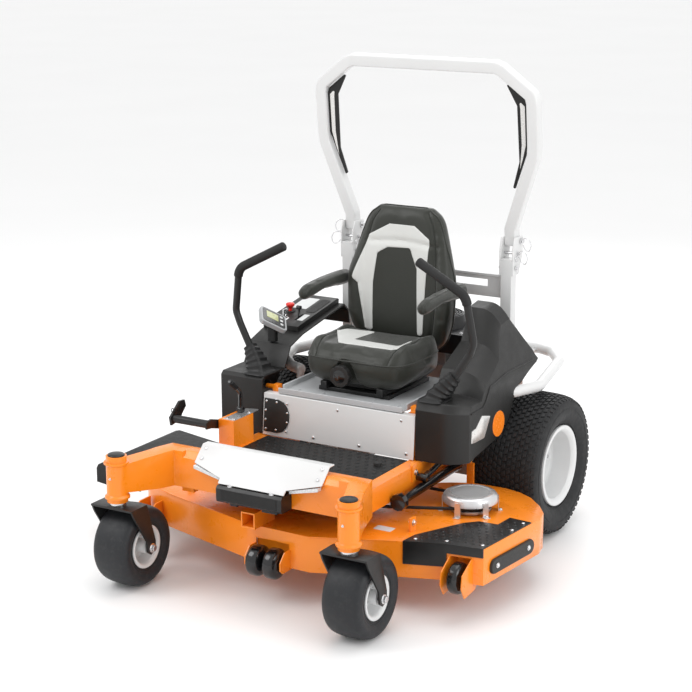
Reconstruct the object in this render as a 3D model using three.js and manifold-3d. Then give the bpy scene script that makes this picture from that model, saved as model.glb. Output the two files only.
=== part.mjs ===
// Zero turn mower: a ride-on machine with two driven rear wheels, two free front casters,
// a three-blade side-discharge cutting deck, a suspended seat between two lap-bar levers
// and a folding roll bar. Millimetres, +Z up, the machine faces -Y, the operator's left is +X.
// All dimensions below are written in a design frame whose origin is on the ground under the
// middle of the rear axle; the finished group is shifted so that its origin is on the ground
// at the middle of the whole machine's bounding box.

import * as THREE from 'three';
import { mergeVertices } from 'three/addons/utils/BufferGeometryUtils.js';
import Module from 'manifold-3d';

const wasm = await Module();
wasm.setup();

// ---------------------------------------------------------------- driving dimensions
const ORIGIN_X = -47.0;          // bounding-box middle in the design frame
const ORIGIN_Y = -476.6;
const GAP = 0.3;                 // clearance between neighbouring pieces

const REAR_R = 305;              // 24 x 12-12 drive tyre
const REAR_W = 299;
const REAR_X = 578;              // middle of the tyre from the centreline
const REAR_RIM_R = 152;
const CASTER_R = 165;            // 13 x 6.5-6 caster tyre
const CASTER_W = 165;
const PIVOT_X = 527;             // caster pivot tube
const PIVOT_Y = -1449;
const PIVOT_Z0 = 368;
const PIVOT_Z1 = 556;
const TRAIL = 82;                // caster axle behind its pivot

const RAIL_X0 = 340, RAIL_X1 = 395, RAIL_Z0 = 360, RAIL_Z1 = 455;
const FRONT_BEAM_Y = -1240, REAR_END_Y = 400;

const ROPS_TUBE = 52;            // square tube of the roll bar
const ROPS_WIDE = 512;           // tube middle, wide part
const ROPS_NARROW = 395;         // tube middle at the brackets
const ROPS_FOLD_Y = 168, ROPS_FOLD_Z = 1222;
const ROPS_TILT = Math.atan2(74, 725);   // the hoop leans forward

const DECK_Z0 = 140, DECK_Z1 = 285, DECK_T = 5;
const SPINDLES = { left: [610, -640], center: [85, -880], right: [-440, -640] };
const BLADE_R = 262;
const ROLLER_R = 63.5;

const LEVER_PIVOT = [413, -590, 650];
const SEAT_TILT = [-640, 636];   // y, z of the seat plate's front hinge
const CHUTE_HINGE = [-721, 292]; // x, z of the discharge chute's hinge

// rear bumper tube: from the rails it passes over the tyres and around the engine
const BUMPER_HALF = [[398, -300], [470, -262], [566, -158], [617, -27], [522, 388], [432, 520], [350, 556]];
const BUMPER_PATH = [...BUMPER_HALF.map(([x, y]) => [x, y, 650]), ...BUMPER_HALF.slice().reverse().map(([x, y]) => [-x, y, 650])];

// ---------------------------------------------------------------- shape helpers
const bare = (g) => { g.deleteAttribute('normal'); g.deleteAttribute('uv'); return mergeVertices(g, 1e-4); };
const solid = (g) => {
  const b = bare(g.clone());
  return new wasm.Manifold(new wasm.Mesh({
    numProp: 3,
    vertProperties: new Float32Array(b.attributes.position.array),
    triVerts: new Uint32Array(b.index.array),
  }));
};
const geometryOf = (m) => {
  const mesh = m.getMesh();
  const g = new THREE.BufferGeometry();
  const n = mesh.numProp, count = mesh.vertProperties.length / n;
  const pos = new Float32Array(count * 3);
  for (let i = 0; i < count; i++) for (let k = 0; k < 3; k++) pos[i * 3 + k] = mesh.vertProperties[i * n + k];
  g.setAttribute('position', new THREE.BufferAttribute(pos, 3));
  g.setIndex(new THREE.BufferAttribute(new Uint32Array(mesh.triVerts), 1));
  return g;
};
const join = (...gs) => geometryOf(gs.map(solid).reduce((a, b) => a.add(b)));
const cut = (g, ...tools) => geometryOf(tools.map(solid).reduce((a, b) => a.subtract(b), solid(g)));
const common = (a, b) => geometryOf(solid(a).intersect(solid(b)));
const mirrorX = (g) => {
  const m = bare(g.clone());
  const p = m.attributes.position;
  for (let i = 0; i < p.count; i++) p.setX(i, -p.getX(i));
  const ix = m.index.array;
  for (let i = 0; i < ix.length; i += 3) { const t = ix[i]; ix[i] = ix[i + 1]; ix[i + 1] = t; }
  return m;
};
const box = (x0, x1, y0, y1, z0, z1) =>
  new THREE.BoxGeometry(x1 - x0, y1 - y0, z1 - z0).translate((x0 + x1) / 2, (y0 + y1) / 2, (z0 + z1) / 2);
const shapeOf = (pts) => new THREE.Shape(pts.map((p) => new THREE.Vector2(p[0], p[1])));
const prismZ = (pts, z0, z1) =>
  new THREE.ExtrudeGeometry(shapeOf(pts), { depth: z1 - z0, bevelEnabled: false, steps: 1 }).translate(0, 0, z0);
const AXES_X = new THREE.Matrix4().makeBasis(new THREE.Vector3(0, 1, 0), new THREE.Vector3(0, 0, 1), new THREE.Vector3(1, 0, 0));
const AXES_Y = new THREE.Matrix4().makeBasis(new THREE.Vector3(0, 0, 1), new THREE.Vector3(1, 0, 0), new THREE.Vector3(0, 1, 0));
// pts are (y, z) and the prism runs along X
const prismX = (pts, x0, x1) =>
  new THREE.ExtrudeGeometry(shapeOf(pts), { depth: x1 - x0, bevelEnabled: false, steps: 1 }).translate(0, 0, x0).applyMatrix4(AXES_X);
// pts are (x, z) and the prism runs along Y
const prismY = (pts, y0, y1) =>
  new THREE.ExtrudeGeometry(shapeOf(pts.map(([x, z]) => [z, x])), { depth: y1 - y0, bevelEnabled: false, steps: 1 }).translate(0, 0, y0).applyMatrix4(AXES_Y);
const cylZ = (x, y, z0, z1, r, seg = 20, r2 = r) =>
  new THREE.CylinderGeometry(r2, r, z1 - z0, seg).rotateX(Math.PI / 2).translate(x, y, (z0 + z1) / 2);
const cylX = (x0, x1, y, z, r, seg = 20) =>
  new THREE.CylinderGeometry(r, r, x1 - x0, seg).rotateZ(-Math.PI / 2).translate((x0 + x1) / 2, y, z);
const cylY = (x, y0, y1, z, r, seg = 20) =>
  new THREE.CylinderGeometry(r, r, y1 - y0, seg).translate(x, (y0 + y1) / 2, z);
// profile of (radius, position along the axis); it closes on itself or starts and ends on the axis
const latheX = (profile, seg) =>
  new THREE.LatheGeometry(profile.map(([r, x]) => new THREE.Vector2(r, x)), seg).rotateZ(-Math.PI / 2);
const latheZ = (profile, seg) =>
  new THREE.LatheGeometry(profile.map(([r, z]) => new THREE.Vector2(r, z)), seg).rotateX(Math.PI / 2);
// a round bar along a polyline whose corners are rounded
const roundedPath = (pts, r) => {
  const path = new THREE.CurvePath();
  const v = pts.map((p) => new THREE.Vector3(...p));
  let from = v[0];
  for (let i = 1; i < v.length - 1; i++) {
    const a = v[i - 1].clone().sub(v[i]).normalize(), b = v[i + 1].clone().sub(v[i]).normalize();
    const d = Math.min(r, v[i].distanceTo(v[i - 1]) * 0.45, v[i].distanceTo(v[i + 1]) * 0.45);
    const p = v[i].clone().addScaledVector(a, d), q = v[i].clone().addScaledVector(b, d);
    path.add(new THREE.LineCurve3(from, p));
    path.add(new THREE.QuadraticBezierCurve3(p, v[i], q));
    from = q;
  }
  path.add(new THREE.LineCurve3(from, v[v.length - 1]));
  return path;
};
const circle = (r, n) => Array.from({ length: n }, (_, i) => [r * Math.cos(2 * Math.PI * i / n), r * Math.sin(2 * Math.PI * i / n)]);
const bar = (pts, r, bend = 60, sides = 10, steps = 24) =>
  new THREE.ExtrudeGeometry(shapeOf(circle(r, sides)), { extrudePath: roundedPath(pts, bend), steps, bevelEnabled: false });
// a closed body through rings of the same number of points, each ring a convex loop
const loft = (rings) => {
  const n = rings[0].length, pos = [], idx = [];
  rings.forEach((ring) => ring.forEach((p) => pos.push(...p)));
  for (let k = 0; k < rings.length - 1; k++) for (let i = 0; i < n; i++) {
    const a = k * n + i, b = k * n + (i + 1) % n, c = a + n, d = b + n;
    idx.push(a, b, d, a, d, c);
  }
  for (let i = 1; i < n - 1; i++) { idx.push(0, i + 1, i); const t = (rings.length - 1) * n; idx.push(t, t + i, t + i + 1); }
  const g = new THREE.BufferGeometry();
  g.setAttribute('position', new THREE.Float32BufferAttribute(pos, 3));
  g.setIndex(idx);
  return g;
};
const arc = (cx, cy, r, a0, a1, n) =>
  Array.from({ length: n + 1 }, (_, i) => { const a = (a0 + (a1 - a0) * i / n) * Math.PI / 180; return [cx + r * Math.cos(a), cy + r * Math.sin(a)]; });
// an octagon ring for lofts: half sizes w and d, corner cut c, at height z
const octagon = (x, y, z, w, d, c) => [
  [x - w, y - d + c, z], [x - w + c, y - d, z], [x + w - c, y - d, z], [x + w, y - d + c, z],
  [x + w, y + d - c, z], [x + w - c, y + d, z], [x - w + c, y + d, z], [x - w, y + d - c, z]];

// ---------------------------------------------------------------- materials
const material = (hex, roughness, metalness) => () => new THREE.MeshStandardMaterial({ color: hex, roughness, metalness });
const ORANGE = material(0xf0811c, 0.38, 0.1);
const WHITE = material(0xe6e7e8, 0.4, 0.1);
const LIGHT_GREY = material(0xc9cbcd, 0.45, 0.2);
const BLACK_STEEL = material(0x232425, 0.5, 0.2);
const PLASTIC = material(0x3a3a38, 0.6, 0.0);
const RUBBER = material(0x1e2022, 0.85, 0.0);
const VINYL = material(0x3f443a, 0.55, 0.0);
const STEEL = material(0xa9acaf, 0.35, 0.9);
const CAST = material(0x8c8f92, 0.5, 0.8);
const RED = material(0xd22d22, 0.4, 0.0);
const LENS = material(0xdfe6ea, 0.2, 0.0);

const mower = new THREE.Group();
const add = (name, geometry, mat) => {
  const mesh = new THREE.Mesh(geometry, mat());
  mesh.name = name;
  mesh.position.set(-ORIGIN_X, -ORIGIN_Y, 0);
  mower.add(mesh);
};

// ---------------------------------------------------------------- main frame
{
  // rails are rectangular tube, open at the rear; beam and cross members are channels open below
  const rail = cut(box(RAIL_X0, RAIL_X1, -1200, REAR_END_Y, RAIL_Z0, RAIL_Z1),
    box(RAIL_X0 + 6, RAIL_X1 - 6, -1150, REAR_END_Y + 10, RAIL_Z0 + 6, RAIL_Z1 - 6));
  const armPlan = [[360, FRONT_BEAM_Y], [360, -1165], [462, -1165], [500, -1290], [565, -1440], [527, -1470], [489, -1460], [440, -1330], [402, FRONT_BEAM_Y]];
  const armSide = [[-1165, 392], [-1165, 540], [-1245, 540], [-1480, 522], [-1480, 412], [-1300, 392]];
  const arm = common(prismZ(armPlan, 380, 550), prismX(armSide, 340, 600));
  const pivotTube = join(
    cylZ(PIVOT_X, PIVOT_Y, PIVOT_Z0, PIVOT_Z1, 41.5, 24),
    cylZ(PIVOT_X, PIVOT_Y, 384, 392, 50, 24),
    cylZ(PIVOT_X, PIVOT_Y, 524, 532, 50, 24));
  const postFront = box(300, 345, -620, -580, 450, 632);
  const postRear = box(300, 345, -150, -110, 450, 632);
  const sill = box(300, 330, -620, -110, 612, 632);
  const heightBox = cut(box(-425, -350, -895, -750, 450, 575), box(-419, -356, -889, -756, 440, 569));
  const strutEar = prismX([[-740, 395], [-740, 462], [-728, 472], [-702, 472], [-690, 462], [-690, 395]], 390, 402);
  // ear and pin that carry each lever's cross-pivot
  const leverPin = join(box(318, 345, -606, -574, 600, 664),
    cylX(340, LEVER_PIVOT[0] - 28 - GAP, LEVER_PIVOT[1], LEVER_PIVOT[2], 10, 14));
  const side = join(rail, arm, pivotTube, postFront, postRear, sill, leverPin);
  let g = join(side, mirrorX(side),
    cut(prismX([[FRONT_BEAM_Y, 392], [FRONT_BEAM_Y, 514], [-1216, 540], [-1165, 540], [-1165, 392]].reverse(), -402, 402),
      box(-336, 336, FRONT_BEAM_Y + 8, -1173, 380, 506)),
    cut(box(-RAIL_X0 - 5, RAIL_X0 + 5, -700, -650, 372, 440), box(-334, 334, -694, -656, 360, 434)),
    cut(box(-RAIL_X0 - 5, RAIL_X0 + 5, -1000, -960, 372, 440), box(-334, 334, -994, -966, 360, 434)),
    box(-70, 70, REAR_END_Y - 5, REAR_END_Y + 10, 372, 446),
    box(-RAIL_X0 - 5, RAIL_X0 + 5, 60, REAR_END_Y, 441, RAIL_Z1),
    box(-RAIL_X0 - 5, RAIL_X0 + 5, REAR_END_Y - 20, REAR_END_Y, RAIL_Z0, RAIL_Z1),
    heightBox, strutEar);
  const bore = cylZ(PIVOT_X, PIVOT_Y, PIVOT_Z0 - 5, PIVOT_Z1 - 10, 20.5, 24);
  g = cut(g, bore, mirrorX(bore),
    cylZ(0, 225, 430, 470, 42, 20));
  add('main_frame', g, ORANGE);
}

// ---------------------------------------------------------------- front panel, lamps, bumper
{
  // folded cover over the front beam: a level top and a face that slopes forward and down
  const section = [[-1160, 566], [-1160, 572], [-1195, 572], [-1303, 462], [-1297, 458.5], [-1193, 566]];
  const sheet = prismX(section, -293, 293);
  // face outline: the lower corners are cut away for the lamps
  const outline = [[-293, 590], [-293, 510], [-152, 478], [-150, 450], [150, 450], [152, 478], [293, 510], [293, 590]];
  const panel = common(sheet, prismY(outline, -1400, -1100));
  add('front_panel', panel, WHITE);
  // two lamp lenses on one strip that runs behind the panel's lower edge
  const lens = prismY([[158, 462], [158, 475], [286, 504], [286, 491]], -1272, -1246);
  add('light_bar', join(lens, mirrorX(lens), box(-170, 170, -1256, -1246, 464, 472)), LENS);
  add('front_bumper', join(
    prismX([[-1243, 391], [-1310, 391], [-1317, 400], [-1317, 446], [-1308, 457], [-1243, 457]], -150, 150),
    box(-118, -84, -1270, -1244, 366, 400), box(30, 100, -1270, -1244, 366, 400)), BLACK_STEEL);
}

// ---------------------------------------------------------------- foot platform and seat box
add('foot_platform', join(
  box(-338, 338, -1160, -666, 449, 455.5),
  cylZ(270, -790, 455, 470, 16, 12)), BLACK_STEEL);
{
  const section = [[-664, 458], [-648, 637], [-609, 637], [-609, 633], [-644, 633], [-660, 458]];
  add('seat_box_panel', prismX(section, -362, 362), WHITE);
  const plate = prismY([[-356, 474], [-288, 474], [-262, 482], [-242, 503], [-232, 530], [-232, 560], [-242, 587], [-262, 608], [-288, 616], [-356, 616]], -690, -600);
  const slab = prismX([[-671, 455], [-654, 637], [-649.5, 637], [-666.4, 455]].map(([y, z]) => [y + 1.2, z]), -362, 0);
  add('inspection_cover', common(plate, slab), PLASTIC);
}

// ---------------------------------------------------------------- side covers
const fenderOuter = (rearTop) => [[-655, 458], [-655, 690], [-640, 704], [-480, 704], [-430, 790], ...rearTop, [72, 788], [46, 766], [-141, 681], [-181, 630], [-229, 549], [-360, 493], [-549, 466]];
const fenderInner = (rearTop) => [[-649, 400], [-649, 688], [-637, 698], [-476, 698], [-426, 784], ...rearTop, [64, 786], [300, 786], [300, 300]];
{
  const shell = (rearTop, rearTopIn) => cut(
    prismX(fenderOuter(rearTop), 366, 575),
    prismX(fenderInner(rearTopIn), 340, 569),
    box(372, 472, -632, -530, 690, 712), bar(BUMPER_PATH.slice(0, 6), 28, 60, 10, 24));
  add('left_fender', shell(
    [[-260, 868], [-190, 998], [-110, 1010], [-27, 932], [53, 840]],
    [[-255, 863], [-186, 992], [-112, 1003], [-32, 928], [47, 837]]), PLASTIC);
  add('right_fender', mirrorX(shell(
    [[-330, 822], [20, 884], [60, 850]],
    [[-328, 816], [17, 877], [53, 847]])), PLASTIC);
}
{
  // console tray on the right cover, sloping gently up to the rear
  const tray = prismX([[-322, 823.8], [-322, 846], [-300, 852], [16, 906], [24, 900], [22, 884.7]], -575, -396);
  add('control_console', cut(tray, cylZ(-525, -180, 855, 930, 9, 14), box(-452, -444, -262, -198, 845, 930), cylZ(-500, -262, 846, 930, 9, 12)), PLASTIC);
  // display head: a flat box on a short neck, turned to face the operator
  const head = new THREE.BoxGeometry(104, 100, 24);
  const n = new THREE.Vector3(0.60, 0.06, 0.80).normalize(), u = new THREE.Vector3(0.5, 0.55, -0.42);
  u.addScaledVector(n, -u.dot(n)).normalize();
  const v = n.clone().cross(u);
  head.applyMatrix4(new THREE.Matrix4().makeBasis(u, v, n)).translate(-458, -425, 893);
  add('display', join(head, box(-478, -440, -440, -412, 797, 885)), LIGHT_GREY);
}

// ---------------------------------------------------------------- engine and drive
{
  add('engine_block', join(
    box(-150, 150, 110, 340, RAIL_Z1 + GAP, 640),
    box(-95, 95, 120, 330, 630, 700),
    // two cylinder banks in a vee
    prismY([[140, 540], [215, 590], [190, 690], [120, 640]], 150, 300),
    prismY([[-140, 540], [-120, 640], [-190, 690], [-215, 590]], 150, 300),
    cylZ(0, 225, 372, 470, 20, 16),
    cylZ(0, 225, 345, 375, 70, 20)), CAST);
  add('engine_shroud', join(
    prismZ([[-215, 120], [-190, 90], [190, 90], [215, 120], [215, 350], [190, 380], [-190, 380], [-215, 350]], 700.3, 790),
    cylZ(0, 235, 780, 842, 128, 24, 116),
    box(-190, -80, 150, 340, 785, 865)), BLACK_STEEL);
  add('muffler', join(
    cylX(-180, 180, 455, 575, 52, 18),
    cylX(-60, -40, 455, 575, 54, 18),
    bar([[150, 455, 575], [205, 455, 575], [240, 490, 555]], 19, 30, 10, 8)), CAST);
  const axleHousing = join(
    box(165, 330, -105, 85, 228, RAIL_Z0 - GAP),
    cylX(320, 425, 0, 305, 52, 18),
    cylZ(240, -40, 350, 372, 30, 14));
  add('left_transaxle', axleHousing, CAST);
  add('right_transaxle', mirrorX(axleHousing), CAST);
}

// ---------------------------------------------------------------- rear bumper
{
  const side = join(
    box(RAIL_X1 + GAP, RAIL_X1 + 9, -325, -275, 370, 668),
    box(300, 340, REAR_END_Y + GAP, REAR_END_Y + 9, 380, 652),
    prismZ([[300, REAR_END_Y + 2], [340, REAR_END_Y + 2], [340, 562], [300, 562]], 640, 652));
  add('rear_bumper', join(bar(BUMPER_PATH, 24, 60, 10, 52), side, mirrorX(side)), WHITE);
}

// ---------------------------------------------------------------- roll bar
{
  const upright = (s) => {
    const g = box(ROPS_NARROW - 25, ROPS_NARROW + 25, 95, 145, RAIL_Z1 + GAP, 1150);
    return s > 0 ? g : mirrorX(g);
  };
  // each upright ends in a fork of two cheek plates that hold the fold pin
  const cheeks = (s) => {
    const profile = [[95, 1080], [95, 1195], [110, 1243], [185, 1243], [196, 1222], [180, 1150], [150, 1080]];
    const a = prismX(profile, ROPS_NARROW + 27, ROPS_NARROW + 33), b = prismX(profile, ROPS_NARROW - 33, ROPS_NARROW - 27);
    const g = join(a, b, box(ROPS_NARROW - 33, ROPS_NARROW + 33, 95, 145, 1080, 1140),
      cylX(ROPS_NARROW - 36, ROPS_NARROW + 36, ROPS_FOLD_Y, ROPS_FOLD_Z, 8, 12));
    return s > 0 ? g : mirrorX(g);
  };
  const brace = cut(box(-372, 372, 112, 120, 975, 1072), box(-300, 300, 100, 130, 1020, 1050));
  const gusset = box(-372, 372, 108, 128, 1066, 1076);
  add('rops_base', join(upright(1), upright(-1), cheeks(1), cheeks(-1), brace, gusset), WHITE);

  // the hoop is cut from one outline in its own plane (x, s along the plane) and leans forward
  const t = ROPS_TUBE / 2;
  const mid = [[ROPS_NARROW, 0], [ROPS_NARROW, 35], [ROPS_WIDE - 4, 358], [ROPS_WIDE, 400], [ROPS_WIDE, 585], [ROPS_WIDE - 8, 618], [372, 718], [345, 729], [250, 729]];
  const offset = (pts, d) => pts.map((p, i) => {
    const a = pts[Math.max(0, i - 1)], b = pts[Math.min(pts.length - 1, i + 1)];
    const n1 = i > 0 ? [p[1] - a[1], -(p[0] - a[0])] : null, n2 = i < pts.length - 1 ? [b[1] - p[1], -(b[0] - p[0])] : null;
    const unit = (v) => { const l = Math.hypot(v[0], v[1]); return [v[0] / l, v[1] / l]; };
    const u1 = n1 ? unit(n1) : unit(n2), u2 = n2 ? unit(n2) : u1;
    const m = unit([u1[0] + u2[0], u1[1] + u2[1]]), k = d / (m[0] * u1[0] + m[1] * u1[1]);
    return [p[0] + m[0] * k, p[1] + m[1] * k];
  });
  const out = offset(mid, t), inn = offset(mid, -t);
  const flip = (pts) => pts.slice().reverse().map(([x, y]) => [-x, y]);
  const outline = [...out, ...flip(out), ...flip(inn).slice().reverse(), ...inn.slice().reverse()];
  let hoop = new THREE.ExtrudeGeometry(shapeOf(outline), { depth: ROPS_TUBE, bevelEnabled: false, steps: 1 });
  hoop.translate(0, 0, -t);
  // shape x stays X, shape y runs up the leaning plane
  hoop.applyMatrix4(new THREE.Matrix4().makeBasis(
    new THREE.Vector3(1, 0, 0),
    new THREE.Vector3(0, -Math.sin(ROPS_TILT), Math.cos(ROPS_TILT)),
    new THREE.Vector3(0, -Math.cos(ROPS_TILT), -Math.sin(ROPS_TILT))));
  hoop.translate(0, 150, 1241);
  // tongues that reach down between the cheek plates to the fold pin
  const tongue = (s) => {
    const g = cut(prismX([[126, 1200], [122, 1262], [176, 1262], [196, 1235], [190, 1206], [170, 1198]], ROPS_NARROW - 26, ROPS_NARROW + 26),
      cylX(ROPS_NARROW - 40, ROPS_NARROW + 40, ROPS_FOLD_Y, ROPS_FOLD_Z, 9, 12));
    return s > 0 ? g : mirrorX(g);
  };
  add('rops_hoop', cut(join(hoop, tongue(1), tongue(-1)),
    cylX(ROPS_NARROW - 40, ROPS_NARROW + 40, ROPS_FOLD_Y, ROPS_FOLD_Z, 9, 12),
    cylX(-ROPS_NARROW - 40, -ROPS_NARROW + 40, ROPS_FOLD_Y, ROPS_FOLD_Z, 9, 12)), WHITE);

  // black reflector guards inside the hoop's upper bends
  const guardPts = [[408, 218], [417, 212], [483, 392], [485.4, 403], [485.4, 572], [478, 598], [398, 660], [391, 654], [436, 570], [440, 330]];
  let plate = new THREE.ExtrudeGeometry(shapeOf(guardPts), { depth: 14, bevelEnabled: false, steps: 1 }).translate(0, 0, -7);
  plate.applyMatrix4(new THREE.Matrix4().makeBasis(
    new THREE.Vector3(1, 0, 0),
    new THREE.Vector3(0, -Math.sin(ROPS_TILT), Math.cos(ROPS_TILT)),
    new THREE.Vector3(0, -Math.cos(ROPS_TILT), -Math.sin(ROPS_TILT)))).translate(0, 150, 1241);
  add('left_reflector_guard', plate, PLASTIC);
  add('right_reflector_guard', mirrorX(plate), PLASTIC);
}

// ---------------------------------------------------------------- deck suspension strut
add('lift_strut', join(
  bar([[432, -890, 367], [432, -400, 378]], 20, 10, 12, 2),
  bar([[432, -690, 408], [432, -470, 448]], 11, 10, 10, 2),
  cylX(402 + GAP, 446, -700, 408, 16, 12),
  prismX([[-700, 396], [-700, 420], [-660, 426], [-660, 402]], 424, 440),
  prismX([[-492, 462], [-455, 462], [-378, 398], [-384, 358], [-418, 358], [-480, 432]], 423, 441),
  cylY(432, -917, -886, 366, 34, 10)), BLACK_STEEL);

// ---------------------------------------------------------------- seat
{
  const [hy, hz] = SEAT_TILT;
  add('seat_plate', join(
    box(-296, 296, hy + 4, -108, hz + 4, hz + 10),
    box(-296, 296, hy, hy + 6, hz + 4, hz + 28),
    box(-300, -290, -600, -200, hz + 4, hz + 32), box(290, 300, -600, -200, hz + 4, hz + 32)), LIGHT_GREY);
  add('seat_suspension', join(
    box(-170, 170, -520, -170, 646 + GAP, 664),
    box(-150, -120, -540, -150, 660, 692), box(120, 150, -540, -150, 660, 692),
    box(-130, 130, -470, -220, 660, 686)), BLACK_STEEL);
  const ring = (z, x, y0, y1, c) => octagon(0, (y0 + y1) / 2, z, x, (y1 - y0) / 2, c);
  const pad = loft([
    ring(694, 225, -540, -160, 60), ring(722, 255, -562, -152, 70), ring(800, 262, -565, -150, 80), ring(838, 240, -545, -152, 80)]);
  const bolster = loft([
    octagon(225, -330, 780, 34, 176, 30), octagon(222, -330, 866, 24, 150, 22)]);
  add('seat_cushion', cut(join(pad, bolster, mirrorX(bolster)), cylY(-30, -600, -536, 735, 54, 20)), VINYL);
  const back = (z, w, y0, y1, c) => octagon(0, (y0 + y1) / 2, z, w, (y1 - y0) / 2, c);
  const shell = loft([
    back(745, 170, -130, -40, 26), back(800, 225, -140, -30, 36), back(900, 252, -140, -22, 44), back(1060, 258, -135, -20, 44),
    back(1150, 240, -130, -18, 42), back(1290, 204, -112, -18, 40), back(1352, 178, -104, -22, 36), back(1383, 140, -92, -32, 24)]);
  add('seat_back', shell, VINYL);
  const arm = (s) => {
    const g = prismX([[-476, 1030], [-470, 1052], [-430, 1068], [-300, 1078], [-140, 1080], [-85, 1072], [-75, 1035], [-95, 1010], [-150, 1012], [-300, 1020], [-420, 1004], [-462, 1008]], 259, 311);
    return s > 0 ? g : mirrorX(g);
  };
  add('left_armrest', arm(1), VINYL);
  add('right_armrest', arm(-1), VINYL);
  add('seat_knob', join(cylY(-30, -584, -540, 735, 46, 20), cylY(-30, -588, -580, 735, 12, 12)), PLASTIC);
}

// ---------------------------------------------------------------- lap-bar levers and their bellows
{
  const [px, py, pz] = LEVER_PIVOT;
  const ring = (t, w, d) => {
    const x = 418 + (492 - 418) * t, y = -584 + 30 * t, z = 704.3 + (801 - 704.3) * t;
    return octagon(x, y, z, w, d, Math.min(w, d) * 0.5);
  };
  // a cap of the same outline goes through the top hole, so the bellows is an open sleeve
  const boot = (s) => {
    const outer = loft([ring(0, 50, 62), ring(0.45, 42, 46), ring(0.75, 36, 36), ring(1, 28, 28)]);
    const inner = loft([ring(-0.1, 44, 56), ring(0.45, 38, 42), ring(0.75, 32, 32), ring(1.1, 22, 22)]);
    const g = cut(outer, inner);
    return s > 0 ? g : mirrorX(g);
  };
  add('left_boot', boot(1), RUBBER);
  add('right_boot', boot(-1), RUBBER);
  const lever = (s) => {
    const arm = bar([[px, py, pz], [420, -586, 680], [497, -553, 809], [549, -541, 893], [567, -544, 945], [537, -560, 1135], [322, -548, 1247]], 16, 55, 10, 28);
    const hub = cylY(px, py - 26.5, py + 26.5, pz, 21, 14);
    const g = join(arm, hub);
    return s > 0 ? g : mirrorX(g);
  };
  add('left_lever', lever(1), BLACK_STEEL);
  add('right_lever', lever(-1), BLACK_STEEL);
  // the cross-pivot that carries each lever: it turns on the frame and holds the lever's own pin
  const yoke = (s) => {
    const g = join(
      box(px - 28, px + 28, py - 34, py - 27, pz - 36, pz + 14), box(px - 28, px + 28, py + 27, py + 34, pz - 36, pz + 14),
      box(px - 28, px + 28, py - 34, py + 34, pz - 42, pz - 32),
      box(px - 28, px - 23, py - 34, py + 34, pz - 36, pz + 4));
    return s > 0 ? g : mirrorX(g);
  };
  add('left_lever_yoke', yoke(1), STEEL);
  add('right_lever_yoke', yoke(-1), STEEL);
}

// ---------------------------------------------------------------- hand and foot controls
add('pto_knob', join(
  cylZ(-525, -180, 858, 889, 6, 12),
  cylZ(-525, -180, 887, 905, 17, 16, 20),
  cylZ(-525, -180, 904, 912, 20, 16, 14)), RED);
add('throttle_lever', join(
  box(-451, -445, -236, -224, 852, 905),
  cylX(-458, -438, -230, 908, 9, 12)), BLACK_STEEL);
add('ignition_key', join(cylZ(-500, -262, 850, 878, 6, 12), box(-503, -497, -278, -246, 876, 902)), STEEL);

// deck-lift foot pedal: a side plate, a cross tube and a link plate on the height box's pin
add('lift_pedal', join(
  prismX([[-836, 516], [-806, 516], [-804, 546], [-940, 584], [-975, 575], [-972, 548], [-940, 545]], -438, -430),
  cylX(-438, -425 - GAP, -820, 531, 14, 14),
  cylX(-606, -432, -955, 565, 17, 14),
  prismX([[-975, 540], [-982, 575], [-915, 630], [-880, 628], [-872, 600], [-925, 550]], -614, -604)), BLACK_STEEL);
add('height_lever', join(
  bar([[-395, -777, 589], [-395, -775, 665], [-395, -851, 730]], 9, 24, 10, 14),
  cylX(-408, -382, -777, 589, 13, 14)), BLACK_STEEL);

// ---------------------------------------------------------------- front casters
{
  const fork = (s) => {
    const leg = [[-44, 352], [56, 352], [TRAIL + 24, 190], [TRAIL + 24, 150], [TRAIL - 8, 138], [TRAIL - 28, 152], [TRAIL - 34, 200], [-30, 320]];
    const g = join(
      box(-100, 100, -44, 56, 345, 353),
      prismX(leg, 92, 100), prismX(leg, -100, -92),
      cylX(-112, 112, TRAIL, CASTER_R, 12, 12),
      cylZ(0, 0, 350, PIVOT_Z0 - GAP, 30, 16),
      cylZ(0, 0, 350, 540, 19.5, 16)).translate(PIVOT_X, PIVOT_Y, 0);
    return s > 0 ? g : mirrorX(g);
  };
  const tyreHalf = [[76.3, 62], [89, 66], [110, 79], [136, CASTER_W / 2], [154, 73], [163, 48]];
  const tyreProfile = [...tyreHalf.map(([r, x]) => [r, -x]), [CASTER_R, 0], ...tyreHalf.slice().reverse()];
  tyreProfile.push(tyreProfile[0]);
  const rimProfile = [[13, -80], [28, -80], [28, -6], [69, -6], [69, -68], [80, -74], [88, -74], [88, -67], [75.9, -63], [75.9, 63], [88, 67], [88, 74], [80, 74], [69, 68], [69, 6], [28, 6], [28, 80], [13, 80], [13, -80]];
  for (const s of [1, -1]) {
    const side = s > 0 ? 'left' : 'right';
    add(side + '_caster_fork', fork(s), BLACK_STEEL);
    add(side + '_caster_tyre', latheX(tyreProfile, 16).translate(s * PIVOT_X, PIVOT_Y + TRAIL, CASTER_R), RUBBER);
    add(side + '_caster_rim', latheX(rimProfile, 16).translate(s * PIVOT_X, PIVOT_Y + TRAIL, CASTER_R), WHITE);
  }
}

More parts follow.
